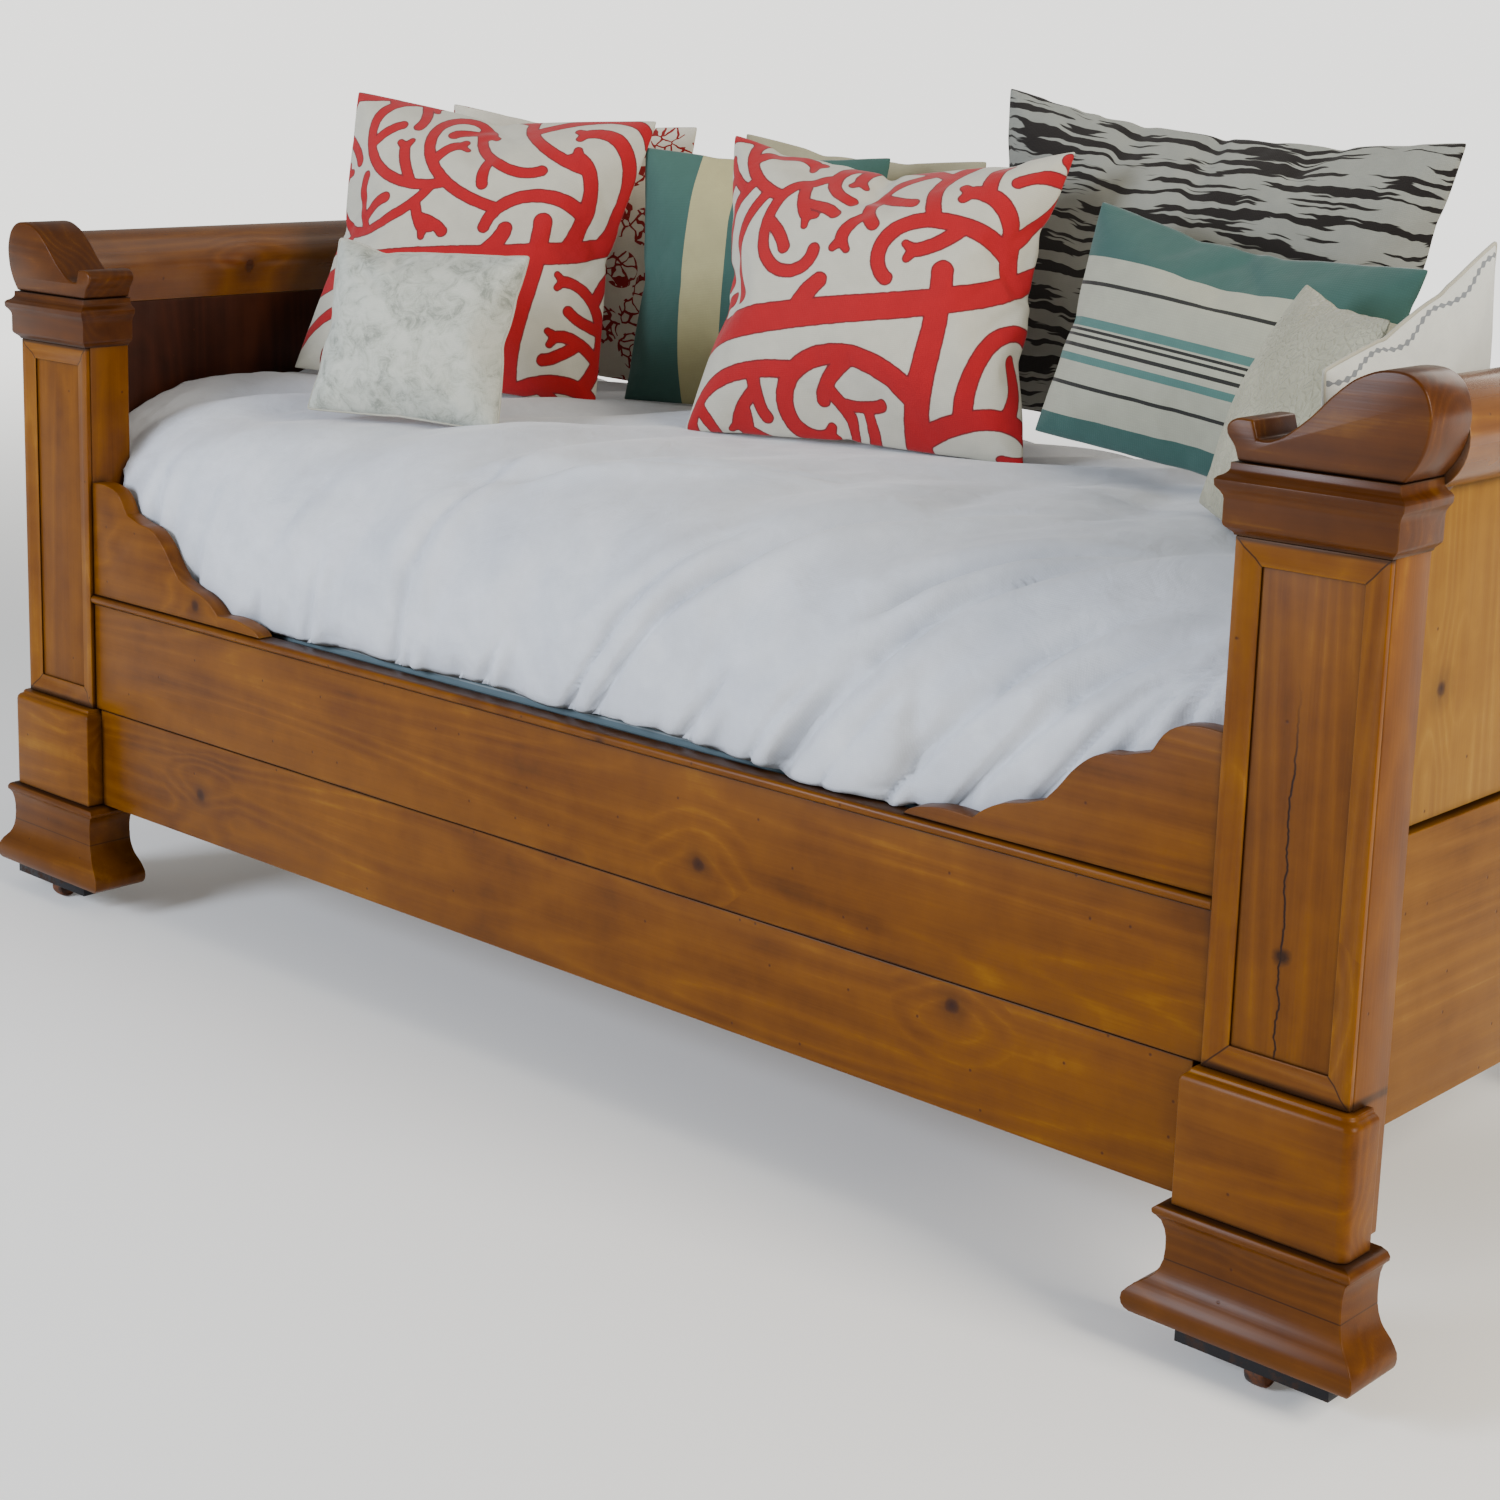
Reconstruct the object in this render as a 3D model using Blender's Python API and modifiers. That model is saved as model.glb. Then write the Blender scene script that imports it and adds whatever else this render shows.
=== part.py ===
"""A wooden daybed with scrolled ends on four swivel casters, dressed with a mattress, duvet and pillows.

Metres, +Z up. The origin is on the floor under the middle of the bed. +X is the right end, and -Y is
the front. Each end is the mirror image of the other, and so is each long side, apart from the front's
mouldings and scrolled brackets.
"""

from math import cos, pi, radians, sin

import bmesh
import bpy
from mathutils import Matrix, Vector

# ---- driving dimensions ----
DEPTH = 0.920            # between the outer faces of the front and back plinths
FLOOR_TO_TIP = 0.060     # height of the feet's widest tip above the floor
GAP = 0.0003             # between pieces that touch

POST_IN = 0.8744         # |x| of a post's inner face
POST_OUT = 1.0247        # |x| of a post's outer face
POST_FRONT = 0.0240      # distance behind the plinth's face
POST_BACK = 0.0860
POST_TOP = 0.7810        # heights are above the feet's tips

PLINTH_IN = 0.8632
PLINTH_OUT = 1.0400
PLINTH_BACK = 0.0470
PLINTH_BOTTOM = 0.0915
PLINTH_TOP = 0.2250
PLINTH_ROUND = 0.0110    # radius of the plinth's outer front edge

FOOT_BACK = 0.0650
FOOT_SIDES = (1.0, 0.66, 0.44)   # how far the foot's profile stands out: inner side, outer side, front

FRAME_FRONT = 0.0170     # face of the mitred frame on the post
FRAME_WIDTH = 0.0250
FRAME_FLAT = 0.0120      # flat outer part of the frame's width
FRAME_SLOPE = 0.0042     # how far the inner part slopes back
CAPITAL_BOTTOM = 0.7163

SCROLL_FRONT = 0.0150
PANEL_IN = 0.9620        # |x| of an end panel's faces
PANEL_OUT = 1.0080
BOARD_OUT = 1.0140
BOARD_BOTTOM = 0.1850
BOARD_TOP = 0.4570
PANEL_BOTTOM = 0.4610
PANEL_TOP = 0.7640
ROLL_X = 1.0030
ROLL_Z = 0.8120
ROLL_RADIUS = 0.0480

RAIL_FRONT = 0.0234
RAIL_THICK = 0.0220
RAIL_BOTTOM = 0.0915
RAIL_SEAM = 0.2250
BEAD_BOTTOM = 0.3710
BEAD_TOP = 0.3830
BEAD_PROUD = 0.0060

LEDGER_DEPTH = 0.0300
LEDGER_BOTTOM = 0.2680
LEDGER_TOP = 0.3080
SLATS_THICK = 0.0180
SLAT_COUNT = 13
SLAT_SPACE = 0.0450      # width of the space between two slats
SLAT_SPACE_ENDS = 0.1300 # from the plinths' faces to the ends of each space between slats
BED_HALF = 0.8680        # half the length of the slats and the mattress

MATTRESS_FRONT = 0.0620
MATTRESS_TOP = 0.5350
MATTRESS_BACK_GAP = 0.0040
MATTRESS_EDGE = 0.0150
DUVET_HALF = 0.9550
DUVET_TOP = 0.6400
DUVET_HEM = 0.3920
DUVET_APRON = 0.0470     # distance of the apron's face behind the plinth's face
DUVET_BACK = 0.0900      # from the back plinth's face, and where the wings start behind the front one
WING_OVERLAP = 0.0200
WING_BELOW_TOP = 0.0400
PILLOW_ROUND = 0.35      # a pillow's rounding, as a share of its thickness

CASTER_X = 0.9560        # |x| of the swivel axis
CASTER_Y = 0.0300        # distance behind the plinth's face
CASTER_TRAIL = 0.0090    # the axle is this far in front of the swivel axis
WHEEL_RADIUS = 0.0155
WHEEL_HALF = 0.0102
AXLE_RADIUS = 0.0030
AXLE_PLAY = 0.0002
CHEEK_IN = 0.0108
CHEEK_OUT = 0.0134
CHEEK_HALF = 0.0058      # half a cheek's width at the axle
CHEEK_SLOPE = 0.0020     # how far a cheek's front edge leans back above the axle
CHEEK_REAR = 0.0080      # from the swivel axis to a cheek's rear corner
CHEEK_ROOT = 0.0010      # how far a cheek reaches into the disc above it
AXLE_END = 0.0010        # how far the axle stands out of a cheek
WHEEL_RIM = 0.0035
WHEEL_DISH = 0.0012      # how far the wheel's sides are hollowed inside the rim
TREAD_CROWN = 0.0018
TREAD_EDGE = 0.0004
FORK_RADIUS = 0.0145
FORK_BOTTOM = 0.0320     # heights from here to STEM_TOP are above the floor
FORK_TOP = 0.0352
STEM_RADIUS = 0.0035
STEM_PLAY = 0.0003
STEM_TOP = 0.0560
CUP_IN = 0.8770
CUP_OUT = 1.0360
CUP_FRONT = -0.0010
CUP_BACK = 0.0600
CUP_BOTTOM = 0.0217
CUP_TOP = 0.0387
POCKET_RADIUS = 0.0300
POCKET_TOP = 0.0365
REACH = 0.0300           # how far a cutter goes past what it cuts
UNION_SINK = 0.0010      # how far a piece sinks into the one that it is joined to

# Outlines, each as (|x|, height above the feet's tips, corner kind). S is smooth, C is a corner.
SCROLL = [
    (0.8720, 0.7813, "C"), (0.8680, 0.7930, "S"), (0.8590, 0.8080, "S"), (0.8640, 0.8165, "S"),
    (0.8850, 0.8190, "C"), (0.8900, 0.8020, "C"), (0.9040, 0.8030, "S"), (0.9310, 0.8200, "S"),
    (0.9660, 0.8540, "S"), (0.9830, 0.8660, "S"), (1.0120, 0.8740, "S"), (1.0360, 0.8680, "S"),
    (1.0490, 0.8480, "S"), (1.0500, 0.8220, "S"), (1.0420, 0.7980, "S"), (1.0300, 0.7813, "C"),
]
BRACKET = [
    (0.8741, 0.3833, "C"), (0.8741, 0.5360, "C"), (0.8400, 0.5360, "S"), (0.8150, 0.5270, "S"),
    (0.7970, 0.5030, "C"), (0.7670, 0.4940, "C"), (0.7430, 0.4900, "S"), (0.7180, 0.4730, "S"),
    (0.6970, 0.4480, "S"), (0.6830, 0.4330, "C"), (0.6560, 0.4240, "S"), (0.6350, 0.4190, "S"),
    (0.6130, 0.4080, "S"), (0.6010, 0.3980, "C"), (0.5650, 0.3990, "S"), (0.5450, 0.3960, "S"),
    (0.5240, 0.3900, "S"), (0.5150, 0.3833, "C"),
]

# Moulding profiles, each as (height above the feet's tips, how far it stands out).
FOOT_PROFILE = [
    (-0.0210, 0.0297), (-0.0180, 0.0340), (-0.0143, 0.0368), (-0.0090, 0.0380), (-0.0030, 0.0370),
    (0.0020, 0.0330), (0.0080, 0.0270), (0.0122, 0.0210), (0.0165, 0.0150), (0.0209, 0.0106),
    (0.0280, 0.0062), (0.0365, 0.0034), (0.0480, 0.0024), (0.0585, 0.0026), (0.0665, 0.0040),
    (0.0747, 0.0075), (0.0790, 0.0125), (0.0805, 0.0157), (0.0845, 0.0162), (0.0886, 0.0120),
    (0.0912, 0.0020),
]
PLINTH_PROFILE = [
    (0.0915, 0.0), (0.2130, 0.0), (0.2165, -0.0008), (0.2190, -0.0028), (0.2205, -0.0060), (0.2247, -0.0070),
]
CAPITAL_PROFILE = [
    (0.7163, 0.0010), (0.7190, 0.0022), (0.7220, 0.0058), (0.7245, 0.0084), (0.7270, 0.0092),
    (0.7480, 0.0092), (0.7515, 0.0098), (0.7550, 0.0118), (0.7580, 0.0142), (0.7600, 0.0156),
    (0.7655, 0.0160), (0.7680, 0.0140), (0.7700, 0.0100), (0.7725, 0.0074), (0.7750, 0.0062),
    (0.7807, 0.0060),
]

# name: (colour, roughness, metallic)
FINISHES = {
    "pine_front": ((0.27, 0.085, 0.010), 0.38, 0.0),
    "pine_side": ((0.36, 0.16, 0.035), 0.34, 0.0),
    "pine_dark": ((0.16, 0.045, 0.010), 0.40, 0.0),
    "cast_iron": ((0.02, 0.02, 0.022), 0.60, 1.0),
    "ticking": ((0.25, 0.35, 0.40), 0.90, 0.0),
    "white_cotton": ((0.62, 0.64, 0.68), 0.90, 0.0),
    "coral_print": ((0.55, 0.20, 0.20), 0.90, 0.0),
    "sprig_print": ((0.50, 0.42, 0.36), 0.90, 0.0),
    "toile_print": ((0.55, 0.56, 0.50), 0.90, 0.0),
    "teal_cotton": ((0.08, 0.16, 0.15), 0.90, 0.0),
    "oat_linen": ((0.50, 0.48, 0.38), 0.90, 0.0),
    "zebra_print": ((0.30, 0.30, 0.28), 0.90, 0.0),
    "striped_canvas": ((0.48, 0.47, 0.40), 0.90, 0.0),
    "knobbly_cream": ((0.55, 0.53, 0.42), 0.95, 0.0),
}

# Pillows: name, finish, middle of the bottom edge (x, distance behind the front plinth), turn about Z, lean
# back and tilt sideways in degrees, width, height, thickness. Each rests on the duvet.
PILLOWS = [
    ("pillow_coral_left", "coral_print", (-0.655, 0.440), (27, 23, -4), (0.440, 0.420, 0.094)),
    ("pillow_coral_right", "coral_print", (0.010, 0.530), (12, 16, 0), (0.460, 0.385, 0.100)),
    ("pillow_sprig", "sprig_print", (-0.730, 0.728), (15, 4, -3), (0.420, 0.385, 0.060)),
    ("pillow_teal", "teal_cotton", (-0.308, 0.690), (17, 8, 0), (0.370, 0.360, 0.060)),
    ("pillow_oat", "oat_linen", (-0.270, 0.850), (2, 1, -3), (0.420, 0.355, 0.045)),
    ("pillow_zebra", "zebra_print", (0.310, 0.765), (0, 6, -3), (0.620, 0.400, 0.080)),
    ("pillow_striped", "striped_canvas", (0.478, 0.565), (-4, 14, -4), (0.440, 0.285, 0.080)),
    ("pillow_toile", "toile_print", (-0.486, 0.237), (22, 18, -2), (0.265, 0.232, 0.070)),
    ("pillow_knobbly", "knobbly_cream", (0.652, 0.352), (-42, 22, 0), (0.280, 0.270, 0.064)),
    ("pillow_white", "white_cotton", (0.874, 0.300), (-86, 7, 0), (0.360, 0.300, 0.056)),
]

CORNERS = [("front_left", -1, -1), ("front_right", 1, -1), ("back_left", -1, 1), ("back_right", 1, 1)]
ENDS = [("left", -1), ("right", 1)]


def clear_scene():
    for old in list(bpy.data.objects):
        bpy.data.objects.remove(old, do_unlink=True)


def new_collection(name):
    coll = bpy.data.collections.new(name)
    bpy.context.scene.collection.children.link(coll)
    return coll


def make_finishes():
    for name, (colour, rough, metal) in FINISHES.items():
        mat = bpy.data.materials.new(name)
        mat.use_nodes = True
        shader = mat.node_tree.nodes["Principled BSDF"]
        shader.inputs["Base Color"].default_value = (*colour, 1.0)
        shader.inputs["Roughness"].default_value = rough
        shader.inputs["Metallic"].default_value = metal


def add_mesh(name, bm, finish, coll):
    """Turn a bmesh into a named object with its finish."""
    bmesh.ops.recalc_face_normals(bm, faces=bm.faces)
    mesh = bpy.data.meshes.new(name)
    bm.to_mesh(mesh)
    bm.free()
    obj = bpy.data.objects.new(name, mesh)
    if finish:
        mesh.materials.append(bpy.data.materials[finish])
    coll.objects.link(obj)
    return obj


def y_at(distance, side):
    """A distance behind the plinth's outer face, as a y on the front (-1) or back (1) side."""
    return side * (DEPTH / 2 - distance)


def z_at(height):
    """A height above the feet's tips, as a height above the floor."""
    return height + FLOOR_TO_TIP


def box(name, low, high, finish, coll):
    bm = bmesh.new()
    bmesh.ops.create_cube(bm, size=1.0)
    size = Vector(high) - Vector(low)
    size = Vector([abs(value) for value in size])
    middle = (Vector(high) + Vector(low)) / 2
    bmesh.ops.scale(bm, vec=size, verts=bm.verts)
    bmesh.ops.translate(bm, vec=middle, verts=bm.verts)
    return add_mesh(name, bm, finish, coll)


def rod(name, radius, start, end, segments, finish, coll):
    """A closed cylinder between two points."""
    start = Vector(start)
    end = Vector(end)
    bm = bmesh.new()
    bmesh.ops.create_cone(bm, cap_ends=True, segments=segments, radius1=radius, radius2=radius,
                          depth=(end - start).length)
    turn = (end - start).to_track_quat("Z", "Y").to_matrix().to_4x4()
    bmesh.ops.transform(bm, matrix=Matrix.Translation((start + end) / 2) @ turn, verts=bm.verts)
    return add_mesh(name, bm, finish, coll)


def outline(name, points, matrix, half_thick, finish, coll, steps=5):
    """A closed flat outline, extruded both ways. Smooth points get automatic handles."""
    curve = bpy.data.curves.new(name, "CURVE")
    curve.dimensions = "2D"
    curve.fill_mode = "BOTH"
    curve.extrude = half_thick
    curve.resolution_u = steps
    spline = curve.splines.new("BEZIER")
    spline.bezier_points.add(len(points) - 1)
    spline.use_cyclic_u = True
    for knot, (u, v, kind) in zip(spline.bezier_points, points):
        knot.co = (u, v, 0)
        handle = "AUTO" if kind == "S" else "VECTOR"
        knot.handle_left_type = handle
        knot.handle_right_type = handle
    guide = bpy.data.objects.new(name + "_outline", curve)
    coll.objects.link(guide)
    bpy.context.view_layer.update()
    mesh = bpy.data.meshes.new_from_object(guide.evaluated_get(bpy.context.evaluated_depsgraph_get()))
    bpy.data.objects.remove(guide, do_unlink=True)
    bm = bmesh.new()
    bm.from_mesh(mesh)
    bpy.data.meshes.remove(mesh)
    bmesh.ops.remove_doubles(bm, verts=bm.verts, dist=0.00005)
    bmesh.ops.dissolve_limit(bm, angle_limit=0.002, verts=bm.verts, edges=bm.edges)
    bmesh.ops.transform(bm, matrix=matrix, verts=bm.verts)
    return add_mesh(name, bm, finish, coll)


def facing_front(middle_y):
    """Local x to the right, local y up, thickness along Y."""
    return Matrix.Translation((0, middle_y, 0)) @ Matrix.Rotation(pi / 2, 4, "X")


def facing_end(middle_x):
    """Local x along +Y, local y up, thickness along X."""
    turn = Matrix.Rotation(pi / 2, 4, "Z") @ Matrix.Rotation(pi / 2, 4, "X")
    return Matrix.Translation((middle_x, 0, 0)) @ turn


def cut(obj, cutters, operation="DIFFERENCE"):
    """Boolean modifiers that stay on the object."""
    for cutter in cutters:
        cutter.hide_render = True
        cutter.display_type = "WIRE"
        modifier = obj.modifiers.new(cutter.name, "BOOLEAN")
        modifier.operation = operation
        modifier.solver = "EXACT"
        modifier.object = cutter


def moulded_block(name, side_x, side_y, faces, profile, sides, round_edge, finish, coll):
    """A block whose inner, outer and front sides follow a moulding profile. Its back is flat.

    faces is (inner |x|, outer |x|, front distance, back distance), and sides scales the profile for the
    inner, outer and front sides. The outer front edge is rounded by round_edge.
    """
    inner, outer, front, back = faces
    bm = bmesh.new()
    rings = []
    for height, out in profile:
        x_in = inner - out * sides[0]
        x_out = outer + out * sides[1]
        d_front = front - out * sides[2]
        corners = [(x_in, back), (x_in, d_front)]
        if round_edge:
            for step in range(5):
                angle = pi / 2 * step / 4
                x = x_out - round_edge * (1 - sin(angle))
                corners.append((x, d_front + round_edge * (1 - cos(angle))))
        else:
            corners.append((x_out, d_front))
        corners.append((x_out, back))
        rings.append([bm.verts.new((side_x * x, y_at(d, side_y), z_at(height))) for x, d in corners])
    for low, high in zip(rings, rings[1:]):
        for index in range(len(low)):
            after = (index + 1) % len(low)
            bm.faces.new((low[index], low[after], high[after], high[index]))
    bm.faces.new(rings[0])
    bm.faces.new(rings[-1])
    return add_mesh(name, bm, finish, coll)


def post_core_cutter(name, side_x, side_y, cutters):
    """The space that a post's core takes in the mouldings around it, with the gap."""
    low = (side_x * (POST_IN - GAP), y_at(POST_FRONT - GAP, side_y), z_at(0))
    high = (side_x * (POST_OUT + GAP), y_at(POST_BACK + REACH, side_y), z_at(POST_TOP + REACH))
    return box(name, low, high, None, cutters)


def make_foot(corner, side_x, side_y, parts, cutters):
    faces = (PLINTH_IN, PLINTH_OUT, 0.0, FOOT_BACK)
    foot = moulded_block(corner + "_foot", side_x, side_y, faces, FOOT_PROFILE, FOOT_SIDES, 0.0,
                         "pine_front", parts)
    swivel = (side_x * CASTER_X, y_at(CASTER_Y, side_y))
    top = STEM_TOP + 0.0020
    hole = rod(corner + "_stem_hole", STEM_RADIUS + STEM_PLAY, (*swivel, 0.0), (*swivel, top), 24,
               None, cutters)
    cut(foot, [hole])


def make_post(corner, side_x, side_y, parts):
    low = (side_x * POST_IN, y_at(POST_FRONT, side_y), z_at(PLINTH_BOTTOM))
    high = (side_x * POST_OUT, y_at(POST_BACK, side_y), z_at(POST_TOP))
    box(corner + "_post", low, high, "pine_side", parts)


def make_plinth(corner, side_x, side_y, parts, cutters):
    faces = (PLINTH_IN, PLINTH_OUT, 0.0, PLINTH_BACK)
    plinth = moulded_block(corner + "_plinth", side_x, side_y, faces, PLINTH_PROFILE, (1, 1, 1),
                           PLINTH_ROUND, "pine_front", parts)
    cut(plinth, [post_core_cutter(corner + "_plinth_core", side_x, side_y, cutters)])


def make_capital(corner, side_x, side_y, parts, cutters):
    faces = (POST_IN, POST_OUT, FRAME_FRONT, POST_BACK)
    capital = moulded_block(corner + "_capital", side_x, side_y, faces, CAPITAL_PROFILE, (1, 1, 1), 0.0,
                            "pine_front", parts)
    cut(capital, [post_core_cutter(corner + "_capital_core", side_x, side_y, cutters)])


def scroll_block(name, side_x, side_y, finish, coll):
    points = [(side_x * x, z_at(height), kind) for x, height, kind in SCROLL]
    middle = (SCROLL_FRONT + POST_BACK) / 2
    half = (POST_BACK - SCROLL_FRONT) / 2
    return outline(name, points, facing_front(y_at(middle, side_y)), half, finish, coll)


def make_post_frame(corner, side_x, side_y, parts, cutters):
    """The mitred frame round the post's sunk panel: a flat outer part and a sloping inner part."""
    low_z = z_at(PLINTH_TOP + GAP)
    high_z = z_at(CAPITAL_BOTTOM - GAP)
    low = (side_x * POST_IN, y_at(FRAME_FRONT, side_y), low_z)
    high = (side_x * POST_OUT, y_at(POST_FRONT - GAP, side_y), high_z)
    frame = box(corner + "_post_frame", low, high, "pine_front", parts)
    bm = bmesh.new()
    bm.from_mesh(frame.data)
    front = [face for face in bm.faces if face.normal.y * side_y > 0.9]
    bmesh.ops.inset_region(bm, faces=front, thickness=FRAME_FLAT, depth=0.0)
    bmesh.ops.inset_region(bm, faces=front, thickness=FRAME_WIDTH - FRAME_FLAT, depth=-FRAME_SLOPE)
    bm.to_mesh(frame.data)
    bm.free()
    opening_low = (side_x * (POST_IN + FRAME_WIDTH), y_at(0.0, side_y), low_z + FRAME_WIDTH)
    opening_high = (side_x * (POST_OUT - FRAME_WIDTH), y_at(FRAME_FRONT + REACH, side_y),
                    high_z - FRAME_WIDTH)
    cut(frame, [box(corner + "_panel_opening", opening_low, opening_high, None, cutters)])


def make_front_corner(corner, side_x, side_y, parts, cutters):
    make_foot(corner, side_x, side_y, parts, cutters)
    make_plinth(corner, side_x, side_y, parts, cutters)
    make_post(corner, side_x, side_y, parts)
    make_post_frame(corner, side_x, side_y, parts, cutters)
    make_capital(corner, side_x, side_y, parts, cutters)
    scroll_block(corner + "_scroll", side_x, side_y, "pine_front", parts)


def make_back_corner(corner, side_x, side_y, parts, cutters):
    """The plainer back corner: foot, post, and a crest that is capital and scroll in one."""
    make_foot(corner, side_x, side_y, parts, cutters)
    low = (side_x * POST_IN, y_at(FRAME_FRONT, side_y), z_at(PLINTH_BOTTOM))
    high = (side_x * POST_OUT, y_at(POST_BACK, side_y), z_at(CAPITAL_BOTTOM - GAP))
    box(corner + "_post", low, high, "pine_side", parts)
    faces = (POST_IN, POST_OUT, FRAME_FRONT, POST_BACK)
    crest = moulded_block(corner + "_crest", side_x, side_y, faces, CAPITAL_PROFILE, (1, 1, 1), 0.0,
                          "pine_side", parts)
    scroll = scroll_block(corner + "_scroll_top", side_x, side_y, None, cutters)
    scroll.data.transform(Matrix.Translation((0, 0, -UNION_SINK)))
    cut(crest, [scroll], "UNION")


def make_end(name, side, parts):
    """An end between its two posts: lower board, upper panel and the roll along its top."""
    y_front = y_at(POST_BACK + GAP, -1)
    y_back = y_at(POST_BACK + GAP, 1)
    box(name + "_end_board", (side * PANEL_IN, y_front, z_at(BOARD_BOTTOM)),
        (side * BOARD_OUT, y_back, z_at(BOARD_TOP)), "pine_side", parts)
    box(name + "_end_panel", (side * PANEL_IN, y_front, z_at(PANEL_BOTTOM)),
        (side * PANEL_OUT, y_back, z_at(PANEL_TOP)), "pine_side", parts)
    bm = bmesh.new()
    section = roll_section()
    for y in (y_front, y_back):
        ring = [bm.verts.new((side * x, y, z_at(height))) for x, height in section]
        bm.faces.new(ring)
    bm.verts.ensure_lookup_table()
    count = len(section)
    for index in range(count):
        after = (index + 1) % count
        bm.faces.new((bm.verts[index], bm.verts[after], bm.verts[after + count], bm.verts[index + count]))
    add_mesh(name + "_end_roll", bm, "pine_side", parts)


def roll_section():
    """A round bar whose underside stands on the end panel's top."""
    points = [(PANEL_OUT, PANEL_TOP + GAP)]
    steps = 36
    for step in range(steps):
        angle = -pi / 2 + 2 * pi * (step + 0.5) / steps
        x = ROLL_X + ROLL_RADIUS * cos(angle)
        height = ROLL_Z + ROLL_RADIUS * sin(angle)
        under = height < ROLL_Z and PANEL_IN < x < PANEL_OUT
        if not under:
            points.append((x, height))
    points.append((PANEL_IN, PANEL_TOP + GAP))
    return points


def make_front_rail(parts):
    front = y_at(RAIL_FRONT, -1)
    back = y_at(RAIL_FRONT + RAIL_THICK, -1)
    lower_half = PLINTH_IN - GAP
    upper_half = POST_IN - GAP
    box("front_rail_lower", (-lower_half, front, z_at(RAIL_BOTTOM)),
        (lower_half, back, z_at(RAIL_SEAM - GAP)), "pine_front", parts)
    box("front_rail_upper", (-upper_half, front, z_at(RAIL_SEAM)),
        (upper_half, back, z_at(BEAD_BOTTOM - GAP)), "pine_front", parts)
    make_bead(upper_half, parts)
    for name, side in ENDS:
        points = [(side * x, z_at(height), kind) for x, height, kind in BRACKET]
        middle = y_at(RAIL_FRONT + RAIL_THICK / 2, -1)
        outline("front_bracket_" + name, points, facing_front(middle), RAIL_THICK / 2, "pine_front", parts, 4)


def make_bead(half, parts):
    """The half-round moulding along the rail's top edge."""
    radius = (BEAD_TOP - GAP - BEAD_BOTTOM) / 2
    middle = z_at(BEAD_BOTTOM + radius)
    nose = y_at(RAIL_FRONT - BEAD_PROUD + radius, -1)
    back = y_at(RAIL_FRONT + RAIL_THICK, -1)
    section = [(back, middle - radius), (back, middle + radius)]
    for step in range(9):
        angle = pi / 2 + pi * step / 8
        section.append((nose + radius * cos(angle), middle + radius * sin(angle)))
    bm = bmesh.new()
    face = bm.faces.new([bm.verts.new((-half, y, z)) for y, z in section])
    grown = bmesh.ops.extrude_face_region(bm, geom=[face])
    moved = [item for item in grown["geom"] if isinstance(item, bmesh.types.BMVert)]
    bmesh.ops.translate(bm, vec=(2 * half, 0, 0), verts=moved)
    add_mesh("front_rail_bead", bm, "pine_front", parts)


def make_base(parts, cutters):
    """Back rail with its ledge, front ledger and the slatted base on them."""
    half = POST_IN - GAP
    rail_out = y_at(RAIL_FRONT, 1)
    rail_in = y_at(RAIL_FRONT + RAIL_THICK, 1)
    ledge_in = y_at(RAIL_FRONT + RAIL_THICK + LEDGER_DEPTH, 1)
    section = [
        (rail_out, z_at(RAIL_BOTTOM), "C"), (rail_out, z_at(BEAD_TOP), "C"), (rail_in, z_at(BEAD_TOP), "C"),
        (rail_in, z_at(LEDGER_TOP), "C"), (ledge_in, z_at(LEDGER_TOP), "C"),
        (ledge_in, z_at(LEDGER_BOTTOM), "C"), (rail_in, z_at(LEDGER_BOTTOM), "C"),
        (rail_in, z_at(RAIL_BOTTOM), "C"),
    ]
    outline("back_rail", section, facing_end(0), half, "pine_side", parts, 1)
    front = y_at(RAIL_FRONT + RAIL_THICK + GAP, -1)
    box("front_ledger", (-BED_HALF, front, z_at(LEDGER_BOTTOM)),
        (BED_HALF, front + LEDGER_DEPTH, z_at(LEDGER_TOP)), "pine_dark", parts)
    slats = box("slatted_base", (-BED_HALF, front + GAP, z_at(LEDGER_TOP + GAP)),
                (BED_HALF, rail_in - GAP, z_at(LEDGER_TOP + SLATS_THICK)), "pine_dark", parts)
    slat_width = (2 * BED_HALF - (SLAT_COUNT - 1) * SLAT_SPACE) / SLAT_COUNT
    bm = bmesh.new()
    for index in range(SLAT_COUNT - 1):
        left = -BED_HALF + slat_width + index * (slat_width + SLAT_SPACE)
        cube = bmesh.ops.create_cube(bm, size=1.0)
        size = (SLAT_SPACE, DEPTH - 2 * SLAT_SPACE_ENDS, 2 * REACH)
        bmesh.ops.scale(bm, vec=size, verts=cube["verts"])
        middle = (left + SLAT_SPACE / 2, 0, z_at(LEDGER_TOP))
        bmesh.ops.translate(bm, vec=middle, verts=cube["verts"])
    cut(slats, [add_mesh("slat_spaces", bm, None, cutters)])


def make_mattress(parts):
    back = y_at(RAIL_FRONT + RAIL_THICK + MATTRESS_BACK_GAP, 1)
    low = (-BED_HALF, y_at(MATTRESS_FRONT, -1), z_at(LEDGER_TOP + SLATS_THICK + GAP))
    mattress = box("mattress", low, (BED_HALF, back, z_at(MATTRESS_TOP)), "ticking", parts)
    bevel = mattress.modifiers.new("soft_edges", "BEVEL")
    bevel.width = MATTRESS_EDGE
    bevel.segments = 2


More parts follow.
